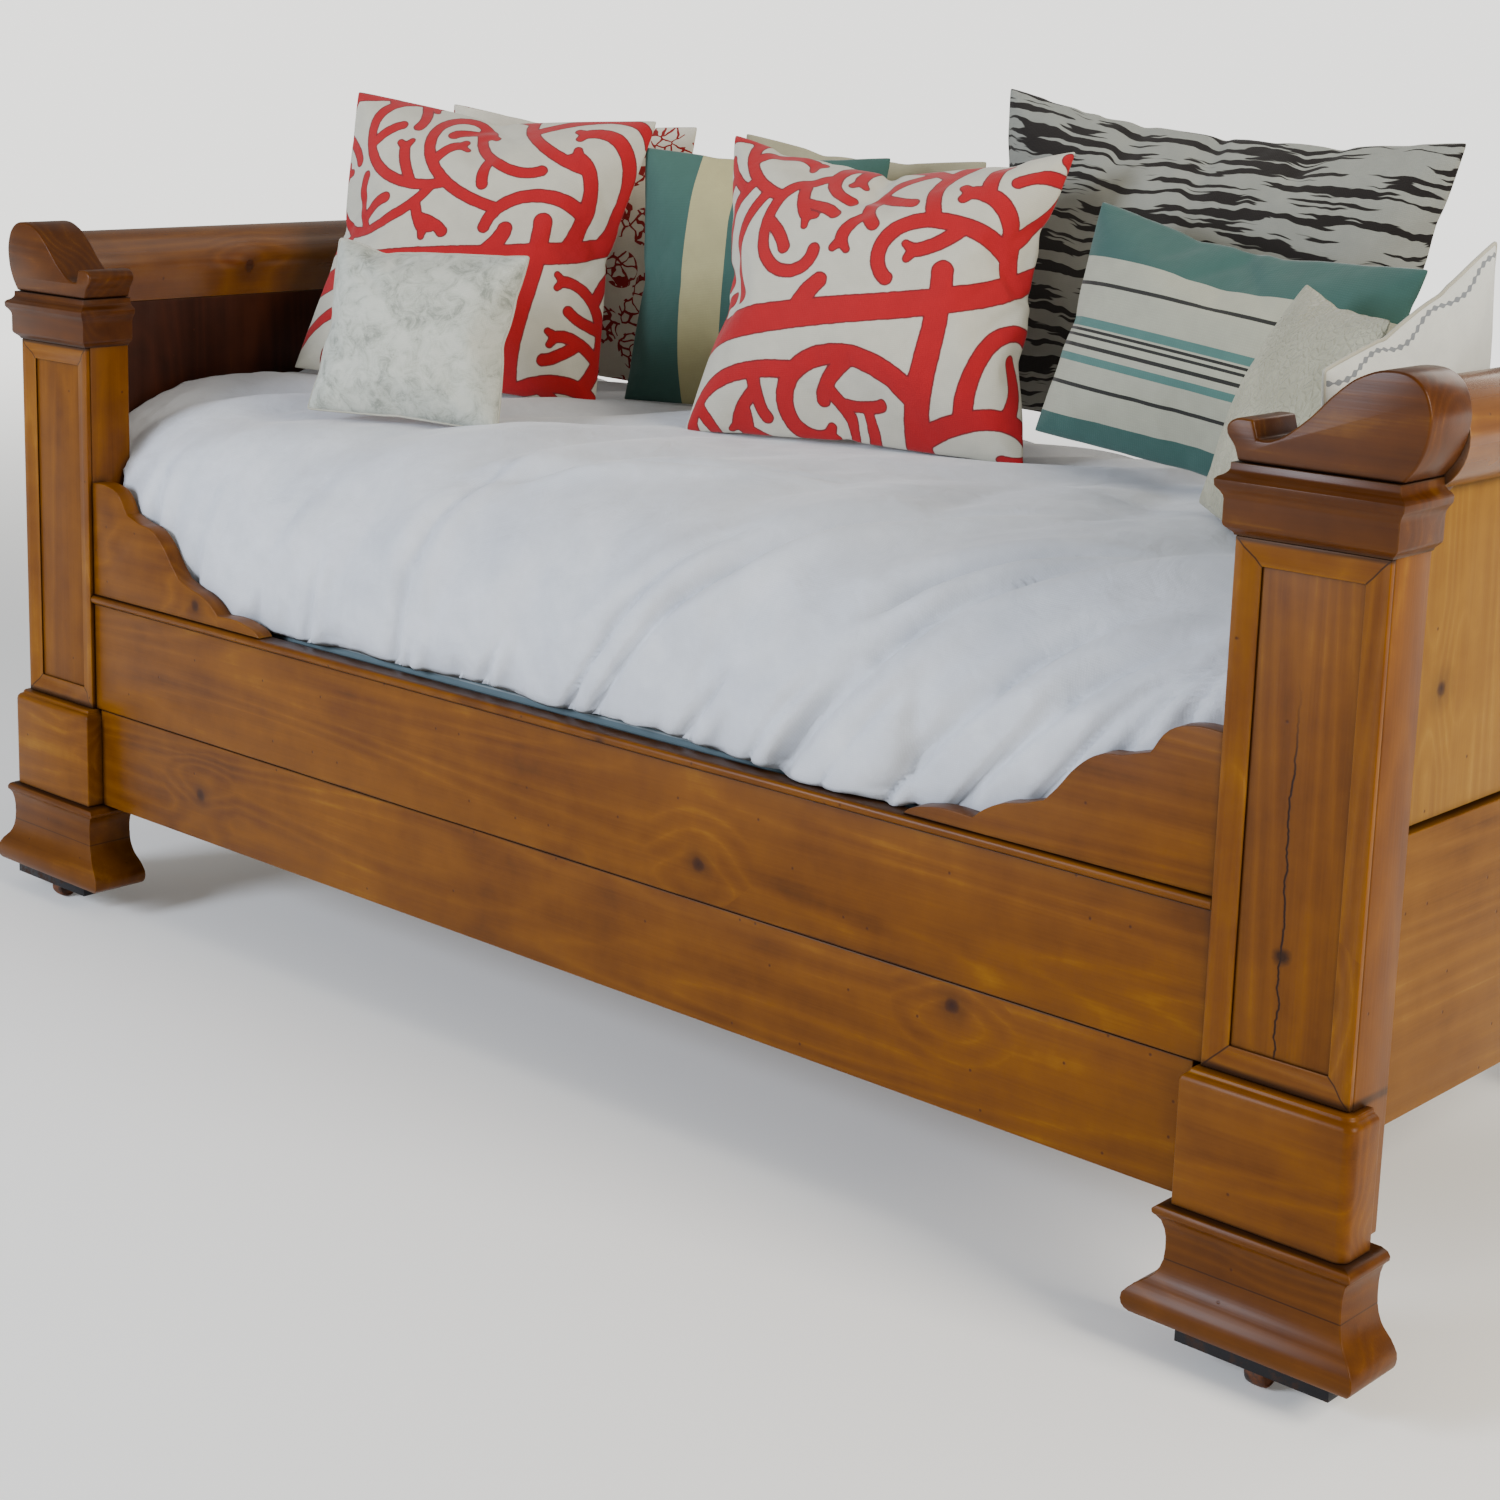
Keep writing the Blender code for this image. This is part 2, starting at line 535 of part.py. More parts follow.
def make_duvet(parts, cutters):
    """A slab on the mattress with an apron down its front, and a wing past the posts at each end."""
    under = MATTRESS_TOP + GAP
    back = DEPTH - DUVET_BACK
    inside = MATTRESS_FRONT - GAP
    points = [
        (back, under, "C"), (back, DUVET_TOP - 0.0100, "C"), (0.3000, DUVET_TOP, "C"),
        (0.1400, DUVET_TOP - 0.0150, "C"), (0.0750, DUVET_TOP - 0.0500, "C"), (DUVET_APRON, under, "C"),
        (DUVET_APRON, DUVET_HEM, "C"), (inside, DUVET_HEM, "C"), (inside, under, "C"),
    ]
    section = [(y_at(distance, -1), z_at(height), kind) for distance, height, kind in points]
    duvet = outline("duvet", section, facing_end(0), BED_HALF, "white_cotton", parts, 1)
    wings = []
    for name, side in ENDS:
        low = (side * (BED_HALF - WING_OVERLAP), y_at(DUVET_BACK, -1), z_at(under + UNION_SINK))
        high = (side * DUVET_HALF, y_at(DUVET_BACK, 1), z_at(DUVET_TOP - WING_BELOW_TOP))
        wings.append(box("duvet_wing_" + name, low, high, None, cutters))
    cut(duvet, wings, "UNION")


def make_pillow(name, finish, place, turns, size, parts):
    """A soft square block: a cube whose corners are rounded, leaning back on its bottom edge."""
    width, height, thick = size
    turn, lean, tilt = [radians(value) for value in turns]
    bm = bmesh.new()
    bmesh.ops.create_cube(bm, size=1.0)
    bmesh.ops.scale(bm, vec=(width, thick, height), verts=bm.verts)
    bmesh.ops.bevel(bm, geom=bm.edges[:], offset=thick * PILLOW_ROUND, segments=2, affect="EDGES",
                    profile=0.5)
    bmesh.ops.translate(bm, vec=(0, 0, height / 2), verts=bm.verts)
    x, distance = place
    pose = (Matrix.Translation((x, y_at(distance, -1), 0)) @ Matrix.Rotation(turn, 4, "Z")
            @ Matrix.Rotation(-lean, 4, "X") @ Matrix.Rotation(-tilt, 4, "Y"))
    bmesh.ops.transform(bm, matrix=pose, verts=bm.verts)
    lowest = min(vert.co.z for vert in bm.verts)
    bmesh.ops.translate(bm, vec=(0, 0, z_at(DUVET_TOP + 0.0010) - lowest), verts=bm.verts)
    add_mesh(name, bm, finish, parts)


def parented(obj, pivot):
    """Hang an object on an empty without moving it."""
    obj.parent = pivot
    obj.matrix_parent_inverse = Matrix.Translation(pivot.location).inverted()


def make_caster(corner, side_x, side_y, parts, cutters):
    x = side_x * CASTER_X
    y = y_at(CASTER_Y, side_y)
    axle_y = y - CASTER_TRAIL
    swivel = bpy.data.objects.new(corner + "_swivel_axis", None)
    swivel.location = (x, y, FORK_TOP)
    parts.objects.link(swivel)
    make_caster_cup(corner, side_x, side_y, (x, y), parts, cutters)
    fork = make_caster_fork(corner, (x, y), axle_y, parts, cutters)
    half = CHEEK_OUT + AXLE_END
    axle = rod(corner + "_caster_axle", AXLE_RADIUS, (x - half, axle_y, WHEEL_RADIUS),
               (x + half, axle_y, WHEEL_RADIUS), 24, "cast_iron", parts)
    wheel = make_wheel(corner, (x, axle_y, WHEEL_RADIUS), parts)
    for piece in (fork, axle):
        parented(piece, swivel)
    wheel.parent = swivel
    wheel.location = Vector((x, axle_y, WHEEL_RADIUS)) - swivel.location


def make_caster_cup(corner, side_x, side_y, centre, parts, cutters):
    """An iron block under the foot with a round pocket for the fork, open at the front."""
    cup = box(corner + "_caster_cup", (side_x * CUP_IN, y_at(CUP_FRONT, side_y), CUP_BOTTOM),
              (side_x * CUP_OUT, y_at(CUP_BACK, side_y), CUP_TOP), "cast_iron", parts)
    pocket = rod(corner + "_pocket", POCKET_RADIUS, (*centre, 0.0), (*centre, POCKET_TOP), 40, None, cutters)
    hole = rod(corner + "_cup_hole", STEM_RADIUS + STEM_PLAY, (*centre, 0.0), (*centre, CUP_TOP + REACH), 24,
               None, cutters)
    cut(cup, [pocket, hole])


def make_caster_fork(corner, centre, axle_y, parts, cutters):
    """A disc with a stem above it and a cheek on each side of the wheel."""
    x, y = centre
    fork = rod(corner + "_caster_fork", FORK_RADIUS, (x, y, FORK_BOTTOM), (x, y, FORK_TOP), 32,
               "cast_iron", parts)
    stem = rod(corner + "_stem", STEM_RADIUS, (x, y, FORK_TOP - UNION_SINK), (x, y, STEM_TOP), 24,
               None, cutters)
    joined = [stem]
    root = FORK_BOTTOM + CHEEK_ROOT
    cheek = [
        (y + CHEEK_REAR, root, "C"), (axle_y + CHEEK_HALF, WHEEL_RADIUS, "S"),
        (axle_y, WHEEL_RADIUS - CHEEK_HALF, "S"), (axle_y - CHEEK_HALF, WHEEL_RADIUS, "S"),
        (axle_y - CHEEK_HALF + CHEEK_SLOPE, root, "C"),
    ]
    for name, side in ENDS:
        middle = x + side * (CHEEK_IN + CHEEK_OUT) / 2
        half = (CHEEK_OUT - CHEEK_IN) / 2
        joined.append(outline(corner + "_cheek_" + name, cheek, facing_end(middle), half, None, cutters, 3))
    cut(fork, joined, "UNION")
    hole = rod(corner + "_axle_hole", AXLE_RADIUS + AXLE_PLAY / 2, (x - REACH, axle_y, WHEEL_RADIUS),
               (x + REACH, axle_y, WHEEL_RADIUS), 24, None, cutters)
    cut(fork, [hole])
    return fork


def make_wheel(corner, centre, parts):
    """A turned iron wheel with a rounded tread, spun about X. Its origin is on its axle."""
    bore = AXLE_RADIUS + AXLE_PLAY
    rim = WHEEL_RADIUS - WHEEL_RIM
    hub = WHEEL_HALF - WHEEL_DISH
    profile = [(bore, hub), (rim, hub), (rim, WHEEL_HALF)]
    for step in range(7):
        angle = pi / 2 * (1 - step / 3)
        radius = WHEEL_RADIUS - TREAD_CROWN * (1 - cos(angle))
        profile.append((radius, (WHEEL_HALF - TREAD_EDGE) * sin(angle)))
    profile += [(rim, -WHEEL_HALF), (rim, -hub), (bore, -hub)]
    bm = bmesh.new()
    verts = [bm.verts.new((radius, 0, along)) for radius, along in profile]
    for index in range(len(verts)):
        bm.edges.new((verts[index], verts[(index + 1) % len(verts)]))
    bmesh.ops.spin(bm, geom=bm.verts[:] + bm.edges[:], cent=(0, 0, 0), axis=(0, 0, 1), angle=2 * pi, steps=32,
                   use_merge=True)
    bmesh.ops.remove_doubles(bm, verts=bm.verts, dist=0.00002)
    bmesh.ops.rotate(bm, matrix=Matrix.Rotation(pi / 2, 3, "Y"), verts=bm.verts)
    wheel = add_mesh(corner + "_caster_wheel", bm, "cast_iron", parts)
    wheel.location = centre
    return wheel


def main():
    clear_scene()
    parts = new_collection("daybed")
    cutters = new_collection("cutters")
    make_finishes()
    for corner, side_x, side_y in CORNERS:
        if side_y < 0:
            make_front_corner(corner, side_x, side_y, parts, cutters)
        else:
            make_back_corner(corner, side_x, side_y, parts, cutters)
        make_caster(corner, side_x, side_y, parts, cutters)
    for name, side in ENDS:
        make_end(name, side, parts)
    make_front_rail(parts)
    make_base(parts, cutters)
    make_mattress(parts)
    make_duvet(parts, cutters)
    for name, finish, place, turns, size in PILLOWS:
        make_pillow(name, finish, place, turns, size, parts)
    bpy.context.view_layer.update()


main()
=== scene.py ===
"""Looks for a wooden daybed with scrolled ends, dressed with a mattress, a duvet and ten pillows.

Laid out as an add-on and run as a script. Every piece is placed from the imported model's own nodes.
"""

import math
from contextlib import contextmanager

import bpy
import numpy as np
from mathutils import Matrix, Vector, noise


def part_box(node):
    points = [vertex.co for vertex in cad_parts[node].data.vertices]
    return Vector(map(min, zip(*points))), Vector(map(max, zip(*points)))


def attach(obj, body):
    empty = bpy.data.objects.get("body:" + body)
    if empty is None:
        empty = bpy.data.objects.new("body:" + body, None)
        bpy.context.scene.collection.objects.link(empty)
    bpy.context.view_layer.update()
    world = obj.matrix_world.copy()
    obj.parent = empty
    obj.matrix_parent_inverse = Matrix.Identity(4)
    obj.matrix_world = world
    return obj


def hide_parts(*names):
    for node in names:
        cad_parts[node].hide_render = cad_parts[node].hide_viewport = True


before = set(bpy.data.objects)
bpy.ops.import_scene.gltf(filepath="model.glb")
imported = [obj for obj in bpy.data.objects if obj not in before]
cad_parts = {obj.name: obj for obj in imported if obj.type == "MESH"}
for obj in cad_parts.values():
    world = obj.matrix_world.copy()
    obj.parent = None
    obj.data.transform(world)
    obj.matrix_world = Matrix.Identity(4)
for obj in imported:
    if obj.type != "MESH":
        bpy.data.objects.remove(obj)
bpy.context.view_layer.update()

bl_info = {
    "name": "Scrolled Daybed",
    "version": (1, 0, 0),
    "blender": (4, 5, 0),
    "location": "3D View > Sidebar > Daybed",
    "description": "Finishes a wooden daybed and dresses it with its bedding",
    "category": "Object",
}

MM = 0.001
BED_FRONT = -0.46  # the line that the pillows' distances are measured from
FRONT = ("front_left", "front_right")
BACK = ("back_left", "back_right")
CORNERS = FRONT + BACK
GRAIN_TURN = {"X": (0, 0, 0), "Y": (0, 0, -math.pi / 2), "Z": (0, math.pi / 2, 0)}

# Each pillow: (x, distance behind the front), (turn, lean, tilt) in degrees, how full it is, and how much its
# edges keep of the pull that the filling gives them.
PILLOWS = {
    "pillow_coral_left": ((-0.646, 0.442), (27, 23, -4), 0.75, 0.38),
    "pillow_coral_right": ((0.010, 0.530), (12, 16, 0), 0.8, 0.62),
    "pillow_sprig": ((-0.730, 0.728), (15, 4, -3), 0.6, 0.3),
    "pillow_teal": ((-0.308, 0.690), (17, 8, 0), 0.6, 0.25),
    "pillow_oat": ((-0.270, 0.850), (2, 1, -3), 0.5, 0.3),
    "pillow_zebra": ((0.312, 0.768), (0, 6, -4), 0.6, 0.45),
    "pillow_striped": ((0.470, 0.565), (-4, 14, -6), 0.7, 0.35),
    "pillow_toile": ((-0.492, 0.237), (22, 18, -2), 0.8, 0.42),
    "pillow_knobbly": ((0.656, 0.366), (-42, 22, -3), 0.7, 0.3),
    "pillow_white": ((0.874, 0.310), (-86, 7, -17), 0.6, 0.3),
}
# Width, height and thickness of each, in metres.
PILLOW_SIZES = {
    "pillow_coral_left": (0.458, 0.428, 0.100),
    "pillow_coral_right": (0.460, 0.385, 0.100),
    "pillow_sprig": (0.420, 0.385, 0.060),
    "pillow_teal": (0.370, 0.360, 0.060),
    "pillow_oat": (0.420, 0.355, 0.045),
    "pillow_zebra": (0.640, 0.412, 0.084),
    "pillow_striped": (0.454, 0.290, 0.084),
    "pillow_toile": (0.282, 0.238, 0.074),
    "pillow_knobbly": (0.280, 0.270, 0.064),
    "pillow_white": (0.345, 0.240, 0.054),
}
BRANCH_SEEDS = {"pillow_coral_left": 11, "pillow_coral_right": 23}
PIPED = ("pillow_toile", "pillow_white")
STRETCHED = {"pillow_coral_right": 1.04}  # drawn out by this much when it is plumped up


# ---------------------------------------------------------------- colours and nodes


def linear(hex_colour):
    """An sRGB hex colour as linear red, green and blue."""
    values = [int(hex_colour[i:i + 2], 16) / 255 for i in (1, 3, 5)]
    return tuple(v / 12.92 if v <= 0.04045 else ((v + 0.055) / 1.055) ** 2.4 for v in values)


def add(tree, kind, inputs=None, stops=(), **settings):
    """Add a node with its settings. Its inputs are linked or set, by name or number, and its stops placed."""
    made = tree.nodes.new("ShaderNode" + kind)
    for key, value in settings.items():
        setattr(made, key, value)
    for key, value in (inputs or {}).items():
        if isinstance(value, bpy.types.Node):
            value = next(socket for socket in value.outputs if socket.enabled)
        if isinstance(value, bpy.types.NodeSocket):
            tree.links.new(value, made.inputs[key])
        else:
            made.inputs[key].default_value = (*linear(value), 1.0) if isinstance(value, str) else value
    for index, (place, colour) in enumerate(stops):
        elements = made.color_ramp.elements
        element = elements[index] if index < len(elements) else elements.new(place)
        element.position = place
        element.color = (*(linear(colour) if isinstance(colour, str) else (colour,) * 3), 1.0)
    return made


def new_material(name):
    """An empty material with its tree and its shader."""
    mat = bpy.data.materials.new(name)
    mat.use_nodes = True
    tree = mat.node_tree
    tree.nodes.clear()
    shader = add(tree, "BsdfPrincipled")
    add(tree, "OutputMaterial", {"Surface": shader})
    return mat, tree, shader


# ---------------------------------------------------------------- wood and iron


OLD_WAX = "#221004"  # dark wax that has run out of a joint
KNOT_BROWN = "#2B1206"
TONE_PLACES = (0.12, 0.36, 0.60, 0.88)  # where the four tones of a wood stand between dark and light
FACING_SIDE = -0.5  # a normal's part below which a face looks the other way


def mitre_distance(tree, place, box):
    """How much further in from an upright frame's sides than from its ends a place is: none on a mitre."""
    (low_x, low_z), (high_x, high_z) = box
    spread = add(tree, "SeparateXYZ", {0: place})
    in_x = add(tree, "Math", {0: spread.outputs[0]}, operation="ABSOLUTE")
    in_x = add(tree, "Math", {0: in_x, 1: (low_x + high_x) / 2}, operation="SUBTRACT")
    in_x = add(tree, "Math", {0: in_x}, operation="ABSOLUTE")
    in_z = add(tree, "Math", {0: spread.outputs[2], 1: (low_z + high_z) / 2}, operation="SUBTRACT")
    in_z = add(tree, "Math", {0: in_z}, operation="ABSOLUTE")
    surplus = ((high_z - low_z) - (high_x - low_x)) / 2
    past = add(tree, "Math", {0: in_z, 1: in_x}, operation="SUBTRACT")
    return add(tree, "Math", {0: past, 1: surplus}, operation="SUBTRACT")


def pine_knots(tree, flat, ragged):
    """Knots of about 20 mm, one to each half metre or so of board: their hearts, and the swelling round."""
    cells = add(tree, "TexVoronoi", {"Vector": flat, "Scale": 5.0}, voronoi_dimensions="2D")
    chance = add(tree, "SeparateColor", {0: cells.outputs["Color"]}).outputs[0]
    chosen = add(tree, "Math", {0: chance, 1: 0.74}, operation="GREATER_THAN")
    far = add(tree, "Math", {0: ragged, 1: 0.045, 2: cells.outputs["Distance"]}, operation="MULTIPLY_ADD")
    heart = add(tree, "ValToRGB", {0: far}, [(0.028, 1.0), (0.052, 0.8), (0.07, 0.35), (0.16, 0.0)])
    swell = add(tree, "ValToRGB", {0: cells.outputs["Distance"]}, [(0.0, 1.0), (0.4, 0.0)])
    return [add(tree, "Math", {0: mark, 1: chosen}, operation="MULTIPLY") for mark in (heart, swell)]


def growth_rings(tree, along, swell):
    """Contour lines of a long soft noise, which close in tall arches round the knots."""
    long_place = add(tree, "Mapping", {"Vector": along, "Scale": (0.55, 7.5, 7.5)})
    field = add(tree, "TexNoise", {"Vector": long_place, "Scale": 1.2, "Detail": 1.0, "Roughness": 0.4})
    field = add(tree, "Math", {0: swell, 1: 0.11, 2: field}, operation="MULTIPLY_ADD")
    field = add(tree, "Math", {0: field, 1: 34.0}, operation="MULTIPLY")
    rings = add(tree, "Math", {0: field, 1: 1.0}, operation="PINGPONG")
    return add(tree, "Math", {0: rings, 1: 1.6}, operation="POWER")


def pin_holes(tree, flat):
    """Pin holes and small dents, 2 or 3 mm across."""
    pits = add(tree, "TexVoronoi", {"Vector": flat, "Scale": 26.0}, voronoi_dimensions="2D")
    chance = add(tree, "SeparateColor", {0: pits.outputs["Color"]}).outputs[1]
    few = add(tree, "Math", {0: chance, 1: 0.86}, operation="GREATER_THAN")
    pit = add(tree, "ValToRGB", {0: pits.outputs["Distance"]}, [(0.02, 0.85), (0.055, 0.0)])
    return add(tree, "Math", {0: pit, 1: few}, operation="MULTIPLY")


def drying_crack(tree, place, normal, ragged, crack):
    """A crack that wanders down a front face, with a knot on it. The crack is (x, lowest z, highest z)."""
    x, low_z, high_z = crack
    wander_place = add(tree, "Mapping", {"Vector": place, "Scale": (0.01, 0.01, 1.0)})
    wander = add(tree, "TexNoise", {"Vector": wander_place, "Scale": 9.0, "Detail": 5.0, "Roughness": 0.65})
    off = add(tree, "Math", {0: wander, 1: 34 * MM, 2: -17 * MM - x}, operation="MULTIPLY_ADD")
    spread = add(tree, "SeparateXYZ", {0: place})
    height = spread.outputs[2]
    off = add(tree, "Math", {0: spread.outputs[0], 1: off}, operation="ADD")
    off = add(tree, "Math", {0: off}, operation="ABSOLUTE")
    line = add(tree, "MapRange", {0: off, 1: 0.5 * MM, 2: 1.5 * MM, 3: 1.0, 4: 0.0})
    below = add(tree, "Math", {0: height, 1: low_z + 0.11}, operation="SUBTRACT")
    spot = add(tree, "CombineXYZ", {0: off, 1: below})
    spot = add(tree, "VectorMath", {0: spot}, operation="LENGTH").outputs["Value"]
    spot = add(tree, "Math", {0: ragged, 1: 9 * MM, 2: spot}, operation="MULTIPLY_ADD")
    spot = add(tree, "MapRange", {0: spot, 1: 8 * MM, 2: 15 * MM, 3: 0.9, 4: 0.0})
    low = add(tree, "MapRange", {0: height, 1: low_z, 2: low_z + 0.02})
    high = add(tree, "MapRange", {0: height, 1: high_z - 0.09, 2: high_z, 3: 1.0, 4: 0.0})
    line = add(tree, "Math", {0: line, 1: low}, operation="MULTIPLY")
    line = add(tree, "Math", {0: line, 1: high}, operation="MULTIPLY")
    line = add(tree, "Math", {0: line, 1: spot}, operation="MAXIMUM")
    facing = add(tree, "SeparateXYZ", {0: normal}).outputs[1]
    front = add(tree, "Math", {0: facing, 1: FACING_SIDE}, operation="LESS_THAN")
    return add(tree, "Math", {0: line, 1: front}, operation="MULTIPLY")


def wax_line(tree, place, clouds, streaks, seam):
    """Old wax along a joint at one height. The seam is (height, half width)."""
    height, half = seam
    sway = add(tree, "Math", {0: clouds, 1: 3 * MM, 2: -height - 1.5 * MM}, operation="MULTIPLY_ADD")
    off = add(tree, "SeparateXYZ", {0: place}).outputs[2]
    off = add(tree, "Math", {0: off, 1: sway}, operation="ADD")
    off = add(tree, "Math", {0: off}, operation="ABSOLUTE")
    line = add(tree, "MapRange", {0: off, 1: half * 0.3, 2: half, 3: 0.88, 4: 0.0})
    uneven = add(tree, "MapRange", {0: streaks, 1: 0.3, 2: 0.6, 3: 0.65, 4: 1.0})
    return add(tree, "Math", {0: line, 1: uneven}, operation="MULTIPLY")


def waxed_pine(name, tones, grain, gloss=0.36, grime_and_shade=0.8, inner=None, crack=None, seams=(), shine=0.17,
               mitred=None):
    """Old pine, planed, oiled and waxed: arched grain, small knots, rubbed edges, dark wax in its seams, and
    painted shade in its hollows.

    tones are four colours, dark to light, inner are those of faces that look in over the bed, darkened as
    painted shade, grain is the axis along the board, grime is how dark the hollows and joints go, from dark
    wax and painted shade both, seams are joints, as wax_line says, and mitred is the box of an upright frame.
    """
    mat, tree, shader = new_material(name)
    place = add(tree, "TexCoord").outputs["Object"]
    normal = add(tree, "NewGeometry").outputs["Normal"]
    board = add(tree, "Attribute", attribute_name="board").outputs["Fac"]
    shift = add(tree, "VectorMath", {0: (3.1, 5.3, 7.7), "Scale": board}, operation="SCALE")
    own = add(tree, "VectorMath", {0: place, 1: shift}, operation="ADD")
    along = add(tree, "Mapping", {"Vector": own, "Rotation": GRAIN_TURN[grain]}).outputs[0]
    if mitred:
        # The grain of an upright frame's top and bottom pieces runs across.
        past = mitre_distance(tree, place, mitred)
        across = add(tree, "Math", {0: past, 1: 0.0}, operation="GREATER_THAN")
        along = add(tree, "Mix", {0: across, 4: along, 5: own}, data_type="VECTOR").outputs[1]
    # Along the grain, and the sum of the two ways across it, so that a mark is round on every side face.
    split = add(tree, "SeparateXYZ", {0: along})
    over = add(tree, "Math", {0: split.outputs[1], 1: split.outputs[2]}, operation="ADD")
    flat = add(tree, "CombineXYZ", {0: split.outputs[0], 1: over})
    ragged = add(tree, "TexNoise", {"Vector": along, "Scale": 60.0, "Detail": 3.0})
    heart, swell = pine_knots(tree, flat, ragged)
    rings = growth_rings(tree, along, swell)

    # Fibres are drawn about 2 mm apart, coarser than the real ones, so that they show.
    fibre_place = add(tree, "Mapping", {"Vector": along, "Scale": (8.0, 460.0, 460.0)})
    fibres = add(tree, "TexNoise", {"Vector": fibre_place, "Scale": 1.0, "Detail": 2.0, "Roughness": 0.6})
    streak_place = add(tree, "Mapping", {"Vector": along, "Scale": (1.3, 30.0, 30.0)})
    streaks = add(tree, "TexNoise", {"Vector": streak_place, "Scale": 1.0, "Detail": 4.0, "Roughness": 0.55})
    clouds = add(tree, "TexNoise", {"Vector": along, "Scale": 4.0, "Detail": 4.0, "Roughness": 0.6})
    mottle = add(tree, "TexNoise", {"Vector": along, "Scale": 17.0, "Detail": 4.0, "Roughness": 0.65})
    tone = -0.34
    for mark, share in ((rings, 0.14), (streaks, 0.46), (clouds, 0.58), (mottle, 0.34), (fibres, 0.16)):
        tone = add(tree, "Math", {0: mark, 1: share, 2: tone}, operation="MULTIPLY_ADD")
    tone.use_clamp = True
    colour = add(tree, "ValToRGB", {0: tone}, list(zip(TONE_PLACES, tones)))
    if inner:
        # The faces that look in over the bed are much darker: painted shade, as they stand in shade.
        side = add(tree, "SeparateXYZ", {0: place}).outputs[0]
        facing = add(tree, "SeparateXYZ", {0: normal}).outputs[0]
        inward_shade = add(tree, "Math", {0: side, 1: facing}, operation="MULTIPLY")
        inward_shade = add(tree, "Math", {0: inward_shade, 1: FACING_SIDE}, operation="LESS_THAN")
        shaded = add(tree, "ValToRGB", {0: tone}, list(zip(TONE_PLACES, inner)))
        colour = add(tree, "Mix", {0: inward_shade, 6: colour, 7: shaded}, data_type="RGBA")
    pit = pin_holes(tree, flat)
    colour = add(tree, "Mix", {0: heart, 6: colour, 7: KNOT_BROWN}, data_type="RGBA")
    colour = add(tree, "Mix", {0: pit, 6: colour, 7: "#3A1B08"}, data_type="RGBA")
    depth = add(tree, "Math", {0: pit, 1: heart}, operation="ADD")
    if crack:
        line = drying_crack(tree, place, normal, ragged, crack)
        colour = add(tree, "Mix", {0: line, 6: colour, 7: "#1E0D05"}, data_type="RGBA")
        depth = add(tree, "Math", {0: depth, 1: line}, operation="ADD")
    for seam in seams:
        line = wax_line(tree, place, clouds, streaks, seam)
        colour = add(tree, "Mix", {0: line, 6: colour, 7: OLD_WAX}, data_type="RGBA")
    if mitred:
        mitre = add(tree, "Math", {0: past}, operation="ABSOLUTE")
        mitre = add(tree, "MapRange", {0: mitre, 1: 0.5 * MM, 2: 1.5 * MM, 3: 0.9, 4: 0.0})
        colour = add(tree, "Mix", {0: mitre, 6: colour, 7: OLD_WAX}, data_type="RGBA")

    # Edges are rubbed paler. Hollows and places where pieces meet are darkened by how closed in they are:
    # dark wax in the joints, and painted shade in the corners and recesses.
    rounded = add(tree, "Bevel", {"Radius": 4.0 * MM}, samples=4)
    same = add(tree, "VectorMath", {0: rounded, 1: normal}, operation="DOT_PRODUCT")
    edge = add(tree, "MapRange", {0: same.outputs["Value"], 1: 0.98, 2: 0.70, 3: 0.0, 4: 0.6})
    worn = add(tree, "ValToRGB", {0: clouds}, [(0.42, 0.0), (0.60, 1.0)])
    edge = add(tree, "Math", {0: edge, 1: worn}, operation="MULTIPLY")
    colour = add(tree, "Mix", {0: edge, 6: colour, 7: tones[3]}, data_type="RGBA")
    # Painted shade and dark wax: the more closed in a place is, the darker and rougher it is made.
    hollow = add(tree, "AmbientOcclusion", {"Distance": 11.0 * MM}, samples=6).outputs["AO"]
    dirt_and_shade = add(tree, "MapRange", {0: hollow, 1: 0.40, 2: 0.92, 3: grime_and_shade, 4: 0.0})
    colour = add(tree, "Mix", {0: dirt_and_shade, 6: colour, 7: "#1D0C04"}, data_type="RGBA")
    tree.links.new(colour.outputs[2], shader.inputs["Base Color"])

    rough = add(tree, "Math", {0: streaks, 1: 0.22, 2: gloss - 0.11}, operation="MULTIPLY_ADD")
    rough = add(tree, "Math", {0: dirt_and_shade, 1: 0.3, 2: rough}, operation="MULTIPLY_ADD")
    tree.links.new(rough.outputs[0], shader.inputs["Roughness"])
    shader.inputs["IOR"].default_value = 1.45
    shader.inputs["Specular IOR Level"].default_value = shine
    relief = 0.0
    for mark, share in ((fibres, 0.5), (rings, 0.25), (clouds, 2.5), (depth, -1.5)):
        relief = add(tree, "Math", {0: mark, 1: share, 2: relief}, operation="MULTIPLY_ADD")
    bump = add(tree, "Bump", {"Strength": 0.25, "Distance": 0.5 * MM, "Height": relief})
    tree.links.new(bump.outputs[0], shader.inputs["Normal"])
    return mat


def cast_iron(name, tone, rust_tone, share, metallic):
    """Sand-cast iron: near black, grainy, and brown with rust where it is damp."""
    mat, tree, shader = new_material(name)
    place = add(tree, "TexCoord").outputs["Object"]
    patches = add(tree, "TexNoise", {"Vector": place, "Scale": 55.0, "Detail": 6.0, "Roughness": 0.7})
    rust = add(tree, "ValToRGB", {0: patches}, [(0.62 - share, 0.0), (0.72 - share * 0.6, 1.0)])
    grains = add(tree, "TexNoise", {"Vector": place, "Scale": 700.0, "Detail": 2.0})
    colour = add(tree, "Mix", {0: rust, 6: tone, 7: rust_tone}, data_type="RGBA")
    tree.links.new(colour.outputs[2], shader.inputs["Base Color"])
    shader.inputs["Metallic"].default_value = metallic
    rough = add(tree, "MapRange", {0: rust, 3: 0.42, 4: 0.8})
    tree.links.new(rough.outputs[0], shader.inputs["Roughness"])
    bump = add(tree, "Bump", {"Strength": 0.6, "Distance": 0.4 * MM, "Height": grains})
    tree.links.new(bump.outputs[0], shader.inputs["Normal"])
    return mat


# ---------------------------------------------------------------- cloth


